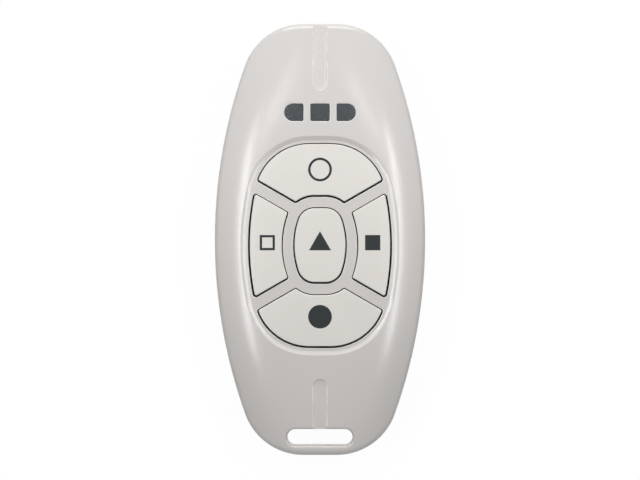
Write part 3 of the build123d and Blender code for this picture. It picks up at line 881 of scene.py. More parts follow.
class Workshop:
    """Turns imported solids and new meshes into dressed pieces, each on the right body.

    Attributes:
        CREASE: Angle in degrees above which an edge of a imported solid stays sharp.
        CLOSE: Least cosine between a mesh's own normal and the ruled face's that takes its place.
    """

    CREASE: ClassVar[float] = 26.0
    CLOSE: ClassVar[float] = math.cos(math.radians(22))

    def __init__(self, frame: dict) -> None:
        """Takes over the loaded frame.
        """
        self.nodes = frame["nodes"]

    def smooth_copy(self, node: str, face: RuledFace | None = None) -> bpy.types.Mesh:
        """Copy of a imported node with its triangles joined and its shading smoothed.

        Args:
            node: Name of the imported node.
            face: Ruled face whose true normals the copy takes where it lies on it.

        Returns:
            The new mesh.
        """
        mesh = self.nodes[node].data.copy()
        mesh.name = f"{node}_mesh"
        for name in ("custom_normal", "sharp_edge", "sharp_face"):
            if name in mesh.attributes:
                mesh.attributes.remove(mesh.attributes[name])
        work = bmesh.new()
        work.from_mesh(mesh)
        bmesh.ops.remove_doubles(work, verts=work.verts, dist=WELD)
        bmesh.ops.dissolve_degenerate(work, edges=work.edges, dist=SLIVER)
        work.to_mesh(mesh)
        work.free()
        mesh.shade_smooth()
        mesh.set_sharp_from_angle(angle=math.radians(self.CREASE))
        if face:
            self.true_normals(mesh, face)
        return mesh

    def true_normals(self, mesh: bpy.types.Mesh, face: RuledFace) -> None:
        """Gives a mesh exact normals where it lies on a ruled face or on a rounding that starts there.

        Args:
            mesh: Mesh that is changed.
            face: The ruled face.
        """
        places = vectors(mesh.vertices, "co") / MM
        corners = np.zeros(len(mesh.loops), int)
        mesh.loops.foreach_get("vertex_index", corners)
        rough = vectors(mesh.corner_normals, "vector")
        normals = rough.copy()
        exact = face.normals(places[:, 0], places[:, 1])[corners]
        depths = face.depth(places)[corners]
        close = np.sum(rough * exact, axis=1) > self.CLOSE
        take = close & face.meets(places)[corners]
        normals[take] = exact[take]
        for rim in face.rims:
            found, on_rim = rim.turned(depths, rough, exact)
            on_rim &= rim.holds(places)[corners]
            normals[on_rim] = found[on_rim]
        mesh.normals_split_custom_set(normals.tolist())

    def coat(self, mesh: bpy.types.Mesh, finishes: Sequence[Finish]) -> None:
        """Gives a mesh finishes in place of those that it has.

        Args:
            mesh: Mesh that is changed.
            finishes: The finishes, in order.
        """
        mesh.materials.clear()
        for finish in finishes:
            mesh.materials.append(finish.material())

    def two_tone(self, mesh: bpy.types.Mesh, finishes: Sequence[Finish], chosen: np.ndarray) -> None:
        """Gives a mesh a plain finish and another one for the chosen faces."""
        self.coat(mesh, finishes)
        mesh.polygons.foreach_set("material_index", chosen.astype(int))

    def show(
        self,
        name: str,
        mesh: bpy.types.Mesh,
        finishes: Sequence[Finish] = (),
        body: str = "housing",
        stands_for: Sequence[str] = (),
        blend: tuple[str, float, float] | None = None,
    ) -> None:
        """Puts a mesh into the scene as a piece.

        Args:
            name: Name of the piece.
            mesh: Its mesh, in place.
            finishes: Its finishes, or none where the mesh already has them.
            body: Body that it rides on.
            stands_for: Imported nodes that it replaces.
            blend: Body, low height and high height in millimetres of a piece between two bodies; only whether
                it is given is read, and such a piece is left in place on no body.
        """
        if finishes:
            self.coat(mesh, finishes)
        piece = placed(name, mesh)
        if blend:
            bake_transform(piece)
        else:
            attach(piece, body)
        if stands_for:
            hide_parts(*stands_for)
        log.info("%s rides on %s with %d faces", name, body, len(mesh.polygons))

    def smooth(
        self, node: str, finish: Finish, slot: str, body: str = "housing", face: RuledFace | None = None
    ) -> None:
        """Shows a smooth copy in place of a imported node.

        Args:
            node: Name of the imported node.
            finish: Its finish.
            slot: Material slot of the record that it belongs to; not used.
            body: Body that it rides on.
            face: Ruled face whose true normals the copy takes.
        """
        self.show(f"{node}_piece", self.smooth_copy(node, face), [finish], body, [node])


class PartTree(NodeBench):
    """A Geometry Nodes tree with named inputs, which ends in real geometry with its materials.

    Attributes:
        KINDS: Socket for each type of input.
        CREASE: Angle in degrees above which an edge stays sharp.
        BLOCK_POINTS: Points along each edge of a soft block.
        BLOCK_POWER: Power that says how near to a block its rounded form is.
        BLOCK_PULL: Power that draws its corners in.
    """

    KINDS: ClassVar[dict[type, str]] = {
        float: "NodeSocketFloat",
        int: "NodeSocketInt",
        tuple: "NodeSocketVector",
        bpy.types.Material: "NodeSocketMaterial",
    }
    CREASE: ClassVar[float] = 40.0
    BLOCK_POINTS: ClassVar[int] = 4
    BLOCK_POWER: ClassVar[float] = 8.0
    BLOCK_PULL: ClassVar[float] = -0.08

    def __init__(self, name: str, sizes: dict[str, object]) -> None:
        """Starts a tree.

        Args:
            name: Name of the tree.
            sizes: Its inputs and what they are set to.
        """
        super().__init__(bpy.data.node_groups.new(name, "GeometryNodeTree"))
        self.sizes = sizes
        face = self.tree.interface
        face.new_socket("Geometry", in_out="INPUT", socket_type="NodeSocketGeometry")
        for label, value in sizes.items():
            face.new_socket(label, in_out="INPUT", socket_type=self.KINDS[type(value)])
        face.new_socket("Geometry", in_out="OUTPUT", socket_type="NodeSocketGeometry")
        self.given = self.add("NodeGroupInput").outputs

    def moved(self, shape: object, offset: object) -> bpy.types.Node:
        """Shape moved by a vector."""
        return self.add("GeometryNodeTransform", {"Geometry": shape, "Translation": offset})

    def joined(self, *shapes: object) -> bpy.types.Node:
        """Shapes as one geometry."""
        return self.add("GeometryNodeJoinGeometry", {0: list(shapes)})

    def welded(self, shape: object) -> bpy.types.Node:
        """Shape whose points are joined where they meet."""
        return self.add("GeometryNodeMergeByDistance", {"Geometry": shape, "Distance": SLIVER})

    def painted(self, shape: object, label: str) -> bpy.types.Node:
        """Shape with the material of an input."""
        return self.add("GeometryNodeSetMaterial", {"Geometry": shape, "Material": self.given[label]})

    def copied(self, shape: object, **more: object) -> bpy.types.Node:
        """Copy of a shape on every point that the tree is given."""
        inputs = {"Points": self.given["Geometry"], "Instance": shape, **more}
        return self.add("GeometryNodeInstanceOnPoints", inputs)

    def random(self, low: object, high: object, seed: object) -> bpy.types.NodeSocket:
        """Random number for each copy.

        Args:
            low: Lowest value.
            high: Highest value.
            seed: Start of the random numbers.

        Returns:
            The number.
        """
        node = self.add("FunctionNodeRandomValue")
        for label, value in {"Min": low, "Max": high, "Seed": seed}.items():
            self.feed(next(s for s in node.inputs if s.name == label and s.enabled), value)
        return next(s for s in node.outputs if s.enabled)

    def swept(self, path: object, profile: object, scale: object) -> bpy.types.Node:
        """Solid with closed ends that a profile leaves along a path."""
        inputs = {"Curve": path, "Profile Curve": profile, "Scale": scale, "Fill Caps": True}
        return self.add("GeometryNodeCurveToMesh", inputs)

    def turned(self, height: object, radius: object, rows: int, around: int) -> bpy.types.Node:
        """Round solid on an upright line whose radius changes along it.

        Args:
            height: Its height, from zero up.
            radius: Radius at each row.
            rows: Points along the line.
            around: Points round the circle.

        Returns:
            The node that makes it.
        """
        line = self.add("GeometryNodeCurvePrimitiveLine", {"End": self.vector(z=height)})
        line = self.add("GeometryNodeResampleCurve", {"Curve": line, "Count": rows})
        ring = self.add("GeometryNodeCurvePrimitiveCircle", {"Resolution": around, "Radius": 1.0})
        return self.swept(line, ring, radius)

    def soft_block(self, size: object) -> bpy.types.Node:
        """Block with softened corners.

        Args:
            size: Its size as a vector.

        Returns:
            The node that makes it.
        """
        points = {f"Vertices {axis}": self.BLOCK_POINTS for axis in "XYZ"}
        cube = self.add("GeometryNodeMeshCube", {"Size": size, **points})
        spot = self.add("GeometryNodeInputPosition").outputs[0]
        share = self.on_vectors("DIVIDE", spot, self.on_vectors("MULTIPLY", size, (0.5, 0.5, 0.5)))
        powers = [self.math("POWER", self.math("ABSOLUTE", v), self.BLOCK_POWER) for v in self.split(share)]
        total = self.math("ADD", self.math("ADD", powers[0], powers[1]), powers[2])
        pull = self.math("POWER", self.math("MAXIMUM", total, 1.0), self.BLOCK_PULL)
        place = self.add("ShaderNodeVectorMath", {0: spot, "Scale": pull}, operation="SCALE")
        return self.add("GeometryNodeSetPosition", {"Geometry": cube, "Position": place})

    def close(self, shape: object) -> None:
        """Ends the tree: instances become real and the faces are shaded smooth up to a crease.

        Args:
            shape: What the tree has made.
        """
        real = self.add("GeometryNodeRealizeInstances", {"Geometry": shape})
        angle = self.add("GeometryNodeInputMeshEdgeAngle").outputs[0]
        even = self.math("LESS_THAN", angle, math.radians(self.CREASE))
        smooth = self.add("GeometryNodeSetShadeSmooth", {"Geometry": real})
        soft = self.add("GeometryNodeSetShadeSmooth", {"Geometry": smooth, "Selection": even}, domain="EDGE")
        self.feed(self.add("NodeGroupOutput").inputs[0], soft)

    def grow(self, points: Sequence[Point]) -> bpy.types.Mesh:
        """Runs the tree on a set of points.

        Args:
            points: Where the copies go, in millimetres.

        Returns:
            The result as a plain mesh.
        """
        base = bpy.data.meshes.new(self.tree.name)
        base.from_pydata([Vector(p) * MM for p in points], [], [])
        holder = placed(self.tree.name, base)
        maker = holder.modifiers.new("Maker", "NODES")
        maker.node_group = self.tree
        for item in self.tree.interface.items_tree:
            if item.name in self.sizes:
                maker[item.identifier] = self.sizes[item.name]
        graph = bpy.context.evaluated_depsgraph_get()
        mesh = bpy.data.meshes.new_from_object(holder.evaluated_get(graph), depsgraph=graph)
        holder.modifiers.remove(maker)
        bpy.data.objects.remove(holder)
        return mesh


@dataclass(frozen=True)
class Facets:
    """Where the faces of a mesh lie and which way they look.

    Attributes:
        centers: Middle of each face in millimetres.
        normals: Unit normal of each face.
        depths: How deep each middle lies under a ruled face, in millimetres.
    """

    centers: np.ndarray
    normals: np.ndarray
    depths: np.ndarray

    @classmethod
    def of(cls, mesh: bpy.types.Mesh, face: RuledFace) -> "Facets":
        """Reads them from a mesh, with depths under a ruled face."""
        centers = vectors(mesh.polygons, "center") / MM
        return cls(centers, vectors(mesh.polygons, "normal"), face.depth(centers))

    def between(self, high: float, low: float) -> np.ndarray:
        """Which faces lie between two depths and aren't upright."""
        leaning = np.abs(self.normals[:, 2]) > STRAIGHT
        return (self.depths > high + NEAR) & (self.depths < low) & leaning


@dataclass
class Housing:
    """Front and rear covers, with the rule of their faces, in millimetres.

    Attributes:
        form: Rules of the outline and of both faces.
        window: Depth of the windows under the crown.
        key: Depth of the key caps.
        groove: Depth of the grooves.
        dish: Depth of the dish round the keys.
        key_rim: Rounding of the key openings.
        window_rim: Rounding of the window openings.
        slot_rim: Rounding of the lanyard slot, on both faces.
        top_groove_rim: Rounding of the groove at the window end.
        bottom_groove_rim: Rounding of the groove at the slot end.
        front_rounding: Radius of the rounding along the front cover's outline.
        rear_rounding: Radius of the rounding along the rear cover's outline.
    """

    form: HousingForm = field(default_factory=HousingForm)
    window: float = 0.08
    key: float = 0.22
    groove: float = 0.28
    dish: float = 0.4
    key_rim: Rim = Rim(0.16, (0.0, -1.1), (13.2, 18.7), depth=0.4)
    window_rim: Rim = Rim(0.16, (0.0, 22.9), (7.1, 1.9))
    slot_rim: Rim = Rim(0.45, (0.0, -35.7), (6.6, 2.1), round_ends=True)
    top_groove_rim: Rim = Rim(0.24, (0.0, 32.1), (1.5, 5.5))
    bottom_groove_rim: Rim = Rim(0.24, (0.0, -29.3), (1.5, 4.4))
    front_rounding: float = 1.4
    rear_rounding: float = 1.2

    def front_face(self) -> RuledFace:
        """Face that the crown, dish, grooves, keys and windows share.

        Returns:
            The face with its roundings.
        """
        depths = (0.0, self.window, self.key, self.groove, self.dish)
        outer = OuterRim(self.front_rounding, form=self.form)
        grooves = (self.top_groove_rim, self.bottom_groove_rim)
        rims = (outer, self.slot_rim, *grooves, self.key_rim, self.window_rim)
        return RuledFace(self.form.front, 1, depths, rims)

    def rear_face(self) -> RuledFace:
        """Face of the belly."""
        outer = OuterRim(self.rear_rounding, form=self.form)
        return RuledFace(self.form.back, -1, (0.0,), (outer, self.slot_rim))

    def smooth_and_highlight_painted(self, facets: Facets) -> np.ndarray:
        """Which faces of the front are soft edges that the mould leaves smoother, and that are painted paler
        as a highlight.

        Args:
            facets: The faces of the front cover.

        Returns:
            True for the roundings of the openings and the sides of the grooves.
        """
        aside, ahead = np.abs(facets.normals[:, :2]).T
        sideways = (aside > STRAIGHT) & (aside > ahead) & (facets.depths < self.groove)
        in_grooves = self.top_groove_rim.holds(facets.centers) | self.bottom_groove_rim.holds(facets.centers)
        smooth_and_painted_bright = in_grooves & sideways
        for rim in (self.key_rim, self.window_rim):
            smooth_and_painted_bright |= rim.holds(facets.centers) & facets.between(rim.depth, rim.depth + rim.radius)
        return smooth_and_painted_bright

    def build(self, shop: Workshop) -> None:
        """Dresses both covers.

        Args:
            shop: Where the pieces are made.
        """
        face = self.front_face()
        front = shop.smooth_copy("front_cover", face)
        # The chosen soft edges take the paler finish, a painted highlight.
        shop.two_tone(front, [Palette.front, Palette.edge], self.smooth_and_highlight_painted(Facets.of(front, face)))
        shop.show("front_cover_piece", front, stands_for=["front_cover"])
        shop.smooth("rear_cover", Palette.rear, "rear_plastic", face=self.rear_face())


class KeyPlace(Enum):
    """The five keys."""

    TOP = "top"
    LEFT = "left"
    CENTER = "center"
    RIGHT = "right"
    BOTTOM = "bottom"


@dataclass
class RubberWeb:
    """Thin rubber cone between the mat and a key's post, in millimetres.

    Attributes:
        inner: Radius at the post.
        outer: Radius at the mat.
        low: Height where it leaves the mat.
        high: Height where it meets the post.
        skin: Its thickness.
        around: Points round each ring.
        rows: Rings from the post to the mat.
    """

    inner: float = 1.7
    outer: float = 2.6
    low: float = 8.5
    high: float = 10.0
    skin: float = 0.3
    around: int = 48
    rows: int = 10

    def tree(self) -> PartTree:
        """Tree that turns an S-shaped skin about each point.

        Returns:
            The tree.
        """
        sizes = {
            "Inner Radius": self.inner * MM,
            "Outer Radius": self.outer * MM,
            "Rise": (self.high - self.low - self.skin) * MM,
            "Skin": self.skin * MM,
            "Around": self.around,
            "Rows": self.rows,
            "Rubber": Palette.plunger.material(),
        }
        tree = PartTree("rubber_web", sizes)
        given = tree.given
        inputs = {"Size X": 1.0, "Size Y": 1.0, "Vertices X": given["Around"], "Vertices Y": given["Rows"]}
        sheet = tree.add("GeometryNodeMeshGrid", inputs)
        spot = tree.split(tree.add("GeometryNodeInputPosition"))
        angle = tree.math("MULTIPLY", tree.math("ADD", spot[0], 0.5), math.tau)
        share = tree.math("ADD", spot[1], 0.5)
        span = tree.math("SUBTRACT", given["Outer Radius"], given["Inner Radius"])
        radius = tree.math("MULTIPLY_ADD", span, share, given["Inner Radius"])
        across = tree.math("MULTIPLY", tree.math("COSINE", angle), radius)
        along = tree.math("MULTIPLY", tree.math("SINE", angle), radius)
        rise = tree.math("MULTIPLY", tree.remap(share, 0.0, 1.0, 1.0, 0.0), given["Rise"])
        inputs = {"Geometry": sheet, "Position": tree.vector(across, along, rise)}
        skin = tree.welded(tree.add("GeometryNodeSetPosition", inputs))
        lift = tree.vector(z=given["Skin"])
        inputs = {"Mesh": skin, "Offset": lift, "Offset Scale": 1.0, "Individual": False}
        wall = tree.add("GeometryNodeExtrudeMesh", inputs)
        under = tree.add("GeometryNodeFlipFaces", {"Mesh": skin})
        shell = tree.welded(tree.joined(wall, under))
        tree.close(tree.painted(tree.copied(shell), "Rubber"))
        return tree


@dataclass
class Keypad:
    """Five keys and the rubber mat that carries them, in millimetres.

    Attributes:
        face: Face of the front cover, which the caps repeat.
        bright_depth: Depth under the crown below which a cap's faces are painted dark as the shade in the gap
            round the key.
        middle_y: Place of the middle key along the housing.
        end_reach: Distance from there to the top and bottom keys.
        side_reach: Distance to the left and right keys.
        web: Cone of each key.
    """

    face: RuledFace
    bright_depth: float = 0.5
    middle_y: float = -1.1
    end_reach: float = 13.606
    side_reach: float = 9.831
    web: RubberWeb = field(default_factory=RubberWeb)

    def spot(self, key: KeyPlace) -> Point:
        """Foot of a key's cone.

        Args:
            key: The key.

        Returns:
            The point where the middle of the cone leaves the mat.
        """
        across = {KeyPlace.LEFT: -self.side_reach, KeyPlace.RIGHT: self.side_reach}.get(key, 0.0)
        along = {KeyPlace.TOP: self.end_reach, KeyPlace.BOTTOM: -self.end_reach}.get(key, 0.0)
        return across, along + self.middle_y, self.web.low

    def cap(self, shop: Workshop, key: KeyPlace) -> None:
        """Shows a cap whose face is bright and whose sides, deep in the opening, are painted dark as the
        shade in the gap.

        Args:
            shop: Where the pieces are made.
            key: The key.
        """
        node = f"key_cap_{key.value}"
        mesh = shop.smooth_copy(node, self.face)
        # Faces deep in the opening take the dark finish, painted shade for the gap round the cap.
        deep = Facets.of(mesh, self.face).depths > self.bright_depth
        shop.two_tone(mesh, [Palette.key, Palette.painted_gap_shade], deep)
        shop.show(f"{node}_piece", mesh, body=f"key_{key.value}", stands_for=[node])

    def build(self, shop: Workshop) -> None:
        """Dresses the mat and every key.

        Args:
            shop: Where the pieces are made.
        """
        shop.smooth("keypad_mat", Palette.mat, "mat_rubber")
        web = self.web.tree()
        for key in KeyPlace:
            body = f"key_{key.value}"
            self.cap(shop, key)
            shop.smooth(f"key_mark_{key.value}", Palette.ink, "mark_ink", body, self.face)
            shop.smooth(f"key_plunger_{key.value}", Palette.plunger, "mat_rubber", body)
            shop.smooth(f"contact_pill_{key.value}", Palette.carbon, "carbon_rubber", body)
            node = f"key_web_{key.value}"
            cone = web.grow([self.spot(key)])
            blend = (body, self.web.low, self.web.high)
            shop.show(f"{node}_piece", cone, stands_for=[node], blend=blend)


class LampColor(Enum):
    """Screen colours of the three lamps."""

    GREEN = (120, 190, 130)
    AMBER = (226, 170, 80)
    RED = (206, 84, 76)


@dataclass
class Indicator:
    """Smoke lens and the three lamps behind it.

    Attributes:
        face: Face of the front cover, which the windows repeat.
        lamp_roughness: Roughness of the lamps' resin.
    """

    face: RuledFace
    lamp_roughness: float = 0.14

    def build(self, shop: Workshop) -> None:
        """Dresses the lens and the lamps.

        Args:
            shop: Where the pieces are made.
        """
        shop.smooth("indicator_lens", Palette.lens, "smoke_lens", face=self.face)
        for color in LampColor:
            name = color.name.lower()
            resin = LampResin(f"lamp_resin_{name}", color.value, self.lamp_roughness)
            shop.smooth(f"led_{name}", resin, f"led_{name}_resin")


@dataclass
class ChipRow:
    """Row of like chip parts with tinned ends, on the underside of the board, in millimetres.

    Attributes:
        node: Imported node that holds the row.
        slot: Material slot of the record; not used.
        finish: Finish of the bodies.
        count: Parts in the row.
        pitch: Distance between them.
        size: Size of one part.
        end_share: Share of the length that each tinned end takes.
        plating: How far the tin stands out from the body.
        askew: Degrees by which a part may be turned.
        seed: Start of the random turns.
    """

    node: str
    slot: str
    finish: Finish
    count: int
    pitch: float
    size: Point
    end_share: float = 0.2
    plating: float = 0.02
    askew: float = 1.5
    seed: int = 7

    def tree(self) -> PartTree:
        """Tree that lays a part with two tinned ends on every point, each turned by a hair.

        Returns:
            The tree.
        """
        sizes = {
            "Part Size": tuple(v * MM for v in self.size),
            "End Share": self.end_share,
            "Plating": self.plating * MM,
            "Turn": math.radians(self.askew),
            "Seed": self.seed,
            "Body": self.finish.material(),
            "Tin": Palette.solder.material(),
        }
        tree = PartTree(f"{self.node}_row", sizes)
        given = tree.given
        long, deep, high = tree.split(given["Part Size"])
        plated = tree.math("MULTIPLY", given["Plating"], 2.0)
        bare = [tree.math("SUBTRACT", side, plated) for side in (long, deep, high)]
        core = tree.painted(tree.soft_block(tree.vector(*bare)), "Body")
        end = tree.math("MULTIPLY", long, given["End Share"])
        cap = tree.painted(tree.soft_block(tree.vector(end, deep, high)), "Tin")
        reach = tree.math("MULTIPLY", tree.math("SUBTRACT", long, end), 0.5)
        away = tree.math("MULTIPLY", reach, -1.0)
        part = tree.joined(core, tree.moved(cap, tree.vector(reach)), tree.moved(cap, tree.vector(away)))
        least = tree.math("MULTIPLY", given["Turn"], -1.0)
        turn = tree.random(least, given["Turn"], given["Seed"])
        tree.close(tree.copied(part, Rotation=tree.vector(z=turn)))
        return tree

    def build(self, shop: Workshop) -> None:
        """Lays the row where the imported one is.

        Args:
            shop: Where the pieces are made.
        """
        low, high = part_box(self.node)
        middle = (low + high) / 2 / MM
        first = middle.y - (self.count - 1) * self.pitch / 2
        points = [(middle.x, first + i * self.pitch, middle.z) for i in range(self.count)]
        shop.show(f"{self.node}_piece", self.tree().grow(points), stands_for=[self.node])


@dataclass
class Package:
    """Chip package with a ring of solder pads round its foot, in millimetres.

    Attributes:
        node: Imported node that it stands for.
        pads_a_side: Pads along each side.
        pitch: Distance between pads.
        pad: Width, length and height of a pad.
        face_share: Share of its width that is left at the face away from the board.
        foot_share: The same share at the board.
        edge: Width of its soft edges.
        border: Width of the band round the face that carries the mark.
        cuts: Cuts along each side of that face, fine enough for a round mark.
        mark_inset: Share of its width by which the index mark lies in from two sides.
        mark_radius: Radius of the mark as a share of its width.
        mark_depth: Depth of the mark.
        crease: Angle in degrees above which an edge stays sharp.
    """

    node: str
    pads_a_side: int
    pitch: float
    pad: Point = (0.28, 0.5, 0.25)
    face_share: float = 0.96
    foot_share: float = 0.99
    edge: float = 0.08
    border: float = 0.35
    cuts: int = 11
    mark_inset: float = 0.2
    mark_radius: float = 0.085
    mark_depth: float = 0.06
    crease: float = 35.0

    def body(self) -> bpy.types.Mesh:
        """Package with a drafted side, soft edges and a round index mark near one corner.

        Returns:
            Its mesh.
        """
        low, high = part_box(self.node)
        center, span = (low + high) / 2, high - low
        work = bmesh.new()
        bmesh.ops.create_cube(work, size=1.0)
        for vertex in work.verts:
            draft = self.face_share if vertex.co.z < 0 else self.foot_share
            vertex.co.x = center.x + vertex.co.x * span.x * draft
            vertex.co.y = center.y + vertex.co.y * span.y * draft
            vertex.co.z = center.z + vertex.co.z * span.z
        edges = {"offset": self.edge * MM, "segments": 3, "profile": 0.6, "affect": "EDGES"}
        bmesh.ops.bevel(work, geom=work.edges[:], **edges)
        face = min(work.faces, key=lambda f: f.calc_center_median().z)
        bmesh.ops.inset_region(work, faces=[face], thickness=self.border * MM)
        bmesh.ops.subdivide_edges(work, edges=face.edges[:], cuts=self.cuts, use_grid_fill=True)
        inset = span * self.mark_inset
        mark = Vector((low.x + inset.x, high.y - inset.y, low.z))
        for vertex in work.verts:
            if (vertex.co - mark).length < span.x * self.mark_radius:
                vertex.co.z += self.mark_depth * MM
        bmesh.ops.recalc_face_normals(work, faces=work.faces[:])
        return meshed(work, f"{self.node}_mesh", self.crease)

    def pads(self) -> bpy.types.Mesh:
        """Ring of tinned pads, laid by Geometry Nodes.

        Returns:
            Its mesh.
        """
        low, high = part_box(self.node)
        middle, half = (low + high) / 2 / MM, (high - low) / 2 / MM
        along = [(i - (self.pads_a_side - 1) / 2) * self.pitch for i in range(self.pads_a_side)]
        width, length, height = self.pad
        level = high.z / MM - height / 2
        work = bmesh.new()
        for turned in (False, True):
            points = []
            for shift in along:
                for side in (-1, 1):
                    x, y = (side * half.x, shift) if turned else (shift, side * half.y)
                    points.append((middle.x + x, middle.y + y, level))
            size = (length, width, height) if turned else (width, length, height)
            sizes = {"Pad Size": tuple(v * MM for v in size), "Tin": Palette.solder.material()}
            tree = PartTree(f"{self.node}_pads", sizes)
            tree.close(tree.painted(tree.copied(tree.soft_block(tree.given["Pad Size"])), "Tin"))
            work.from_mesh(tree.grow(points))
        return meshed(work, f"{self.node}_pads_mesh")

    def build(self, shop: Workshop) -> None:
        """Shows the package and its pads."""
        shop.show(f"{self.node}_piece", self.body(), [Palette.epoxy], stands_for=[self.node])
        shop.show(f"{self.node}_pads_piece", self.pads(), [Palette.solder])


@dataclass
class CrystalCan:
    """Drawn metal can of the crystal on its welded flange, in millimetres.

    Attributes:
        node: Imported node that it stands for.
        corner: Radius of the flange's corners.
        steps: How far each ring lies in from the flange's edge and down from the board.
        corner_points: Points round each corner.
        crease: Angle in degrees above which an edge stays sharp.
    """

    node: str = "crystal"
    corner: float = 1.0
    steps: tuple[tuple[float, float], ...] = (
        (0.0, 0.0),
        (0.0, 0.14),
        (0.04, 0.18),
        (0.2, 0.2),
        (0.24, 0.26),
        (0.24, 0.9),
        (0.27, 1.0),
        (0.34, 1.07),
        (0.44, 1.1),
    )
    corner_points: int = 8
    crease: float = 50.0

    def ring(self, middle: Vector, half: Vector, inset: float, level: float) -> list[Point]:
        """Rounded rectangle at one level.

        Args:
            middle: Middle of the flange.
            half: Half its size.
            inset: How far the ring lies in from the flange's edge.
            level: Its height.

        Returns:
            Its points in order.
        """
        points = []
        for corner, (side_x, side_y) in enumerate(((1, 1), (-1, 1), (-1, -1), (1, -1))):
            for step in range(self.corner_points):
                angle = math.pi / 2 * (corner + step / (self.corner_points - 1))
                reach = self.corner - inset
                x = middle.x + side_x * (half.x - self.corner) + reach * math.cos(angle)
                y = middle.y + side_y * (half.y - self.corner) + reach * math.sin(angle)
                points.append((x, y, level))
        return points

    def build(self, shop: Workshop) -> None:
        """Draws the can ring by ring and shows it.

        Args:
            shop: Where the pieces are made.
        """
        low, high = (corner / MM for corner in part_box(self.node))
        middle, half = (low + high) / 2, (high - low) / 2
        work = bmesh.new()
        rings = []
        for inset, drop in self.steps:
            points = self.ring(middle, half, inset, high.z - drop)
            rings.append([work.verts.new(Vector(point) * MM) for point in points])
        for upper, lower in zip(rings, rings[1:]):
            for i in range(len(upper)):
                work.faces.new((upper[i - 1], upper[i], lower[i], lower[i - 1]))
        work.faces.new(rings[0])
        work.faces.new(rings[-1])
        bmesh.ops.recalc_face_normals(work, faces=work.faces[:])
        mesh = meshed(work, f"{self.node}_mesh", self.crease)
        shop.show(f"{self.node}_piece", mesh, [Palette.can], stands_for=[self.node])


@dataclass
class Electronics:
    """Circuit board with what is soldered to it.

    Attributes:
        rows: Chip capacitors and chip resistors.
        packages: Microcontroller and radio chip.
        crystal: Can of the crystal.
    """

    rows: tuple[ChipRow, ...] = (
        ChipRow("chip_capacitors", "capacitor_ceramic", Palette.ceramic, 5, 1.6, (1.6, 0.8, 0.8)),
        ChipRow("chip_resistors", "resistor_body", Palette.resistor, 6, 1.6, (1.6, 0.8, 0.45)),
    )
    packages: tuple[Package, ...] = (
        Package("microcontroller", 8, 0.7),
        Package("radio_chip", 4, 0.75),
    )
    crystal: CrystalCan = field(default_factory=CrystalCan)

    def build(self, shop: Workshop) -> None:
        """Dresses the board and everything on it.

        Args:
            shop: Where the pieces are made.
        """
        shop.smooth("circuit_board", Palette.board, "board_laminate")
        shop.smooth("contact_pads", Palette.gold, "pad_gold")
        shop.smooth("antenna_loop", Palette.copper, "copper_foil")
        for part in (*self.rows, *self.packages, self.crystal):
            part.build(shop)


@dataclass
class Power:
    """Coin cell and its two contacts."""

    def build(self, shop: Workshop) -> None:
        """Dresses the cell and the contacts.

        Args:
            shop: Where the pieces are made.
        """
        shop.smooth("coin_battery", Palette.cell, "cell_metal")
        for sign in ("positive", "negative"):
            shop.smooth(f"battery_{sign}_contact", Palette.spring, "contact_spring_steel")


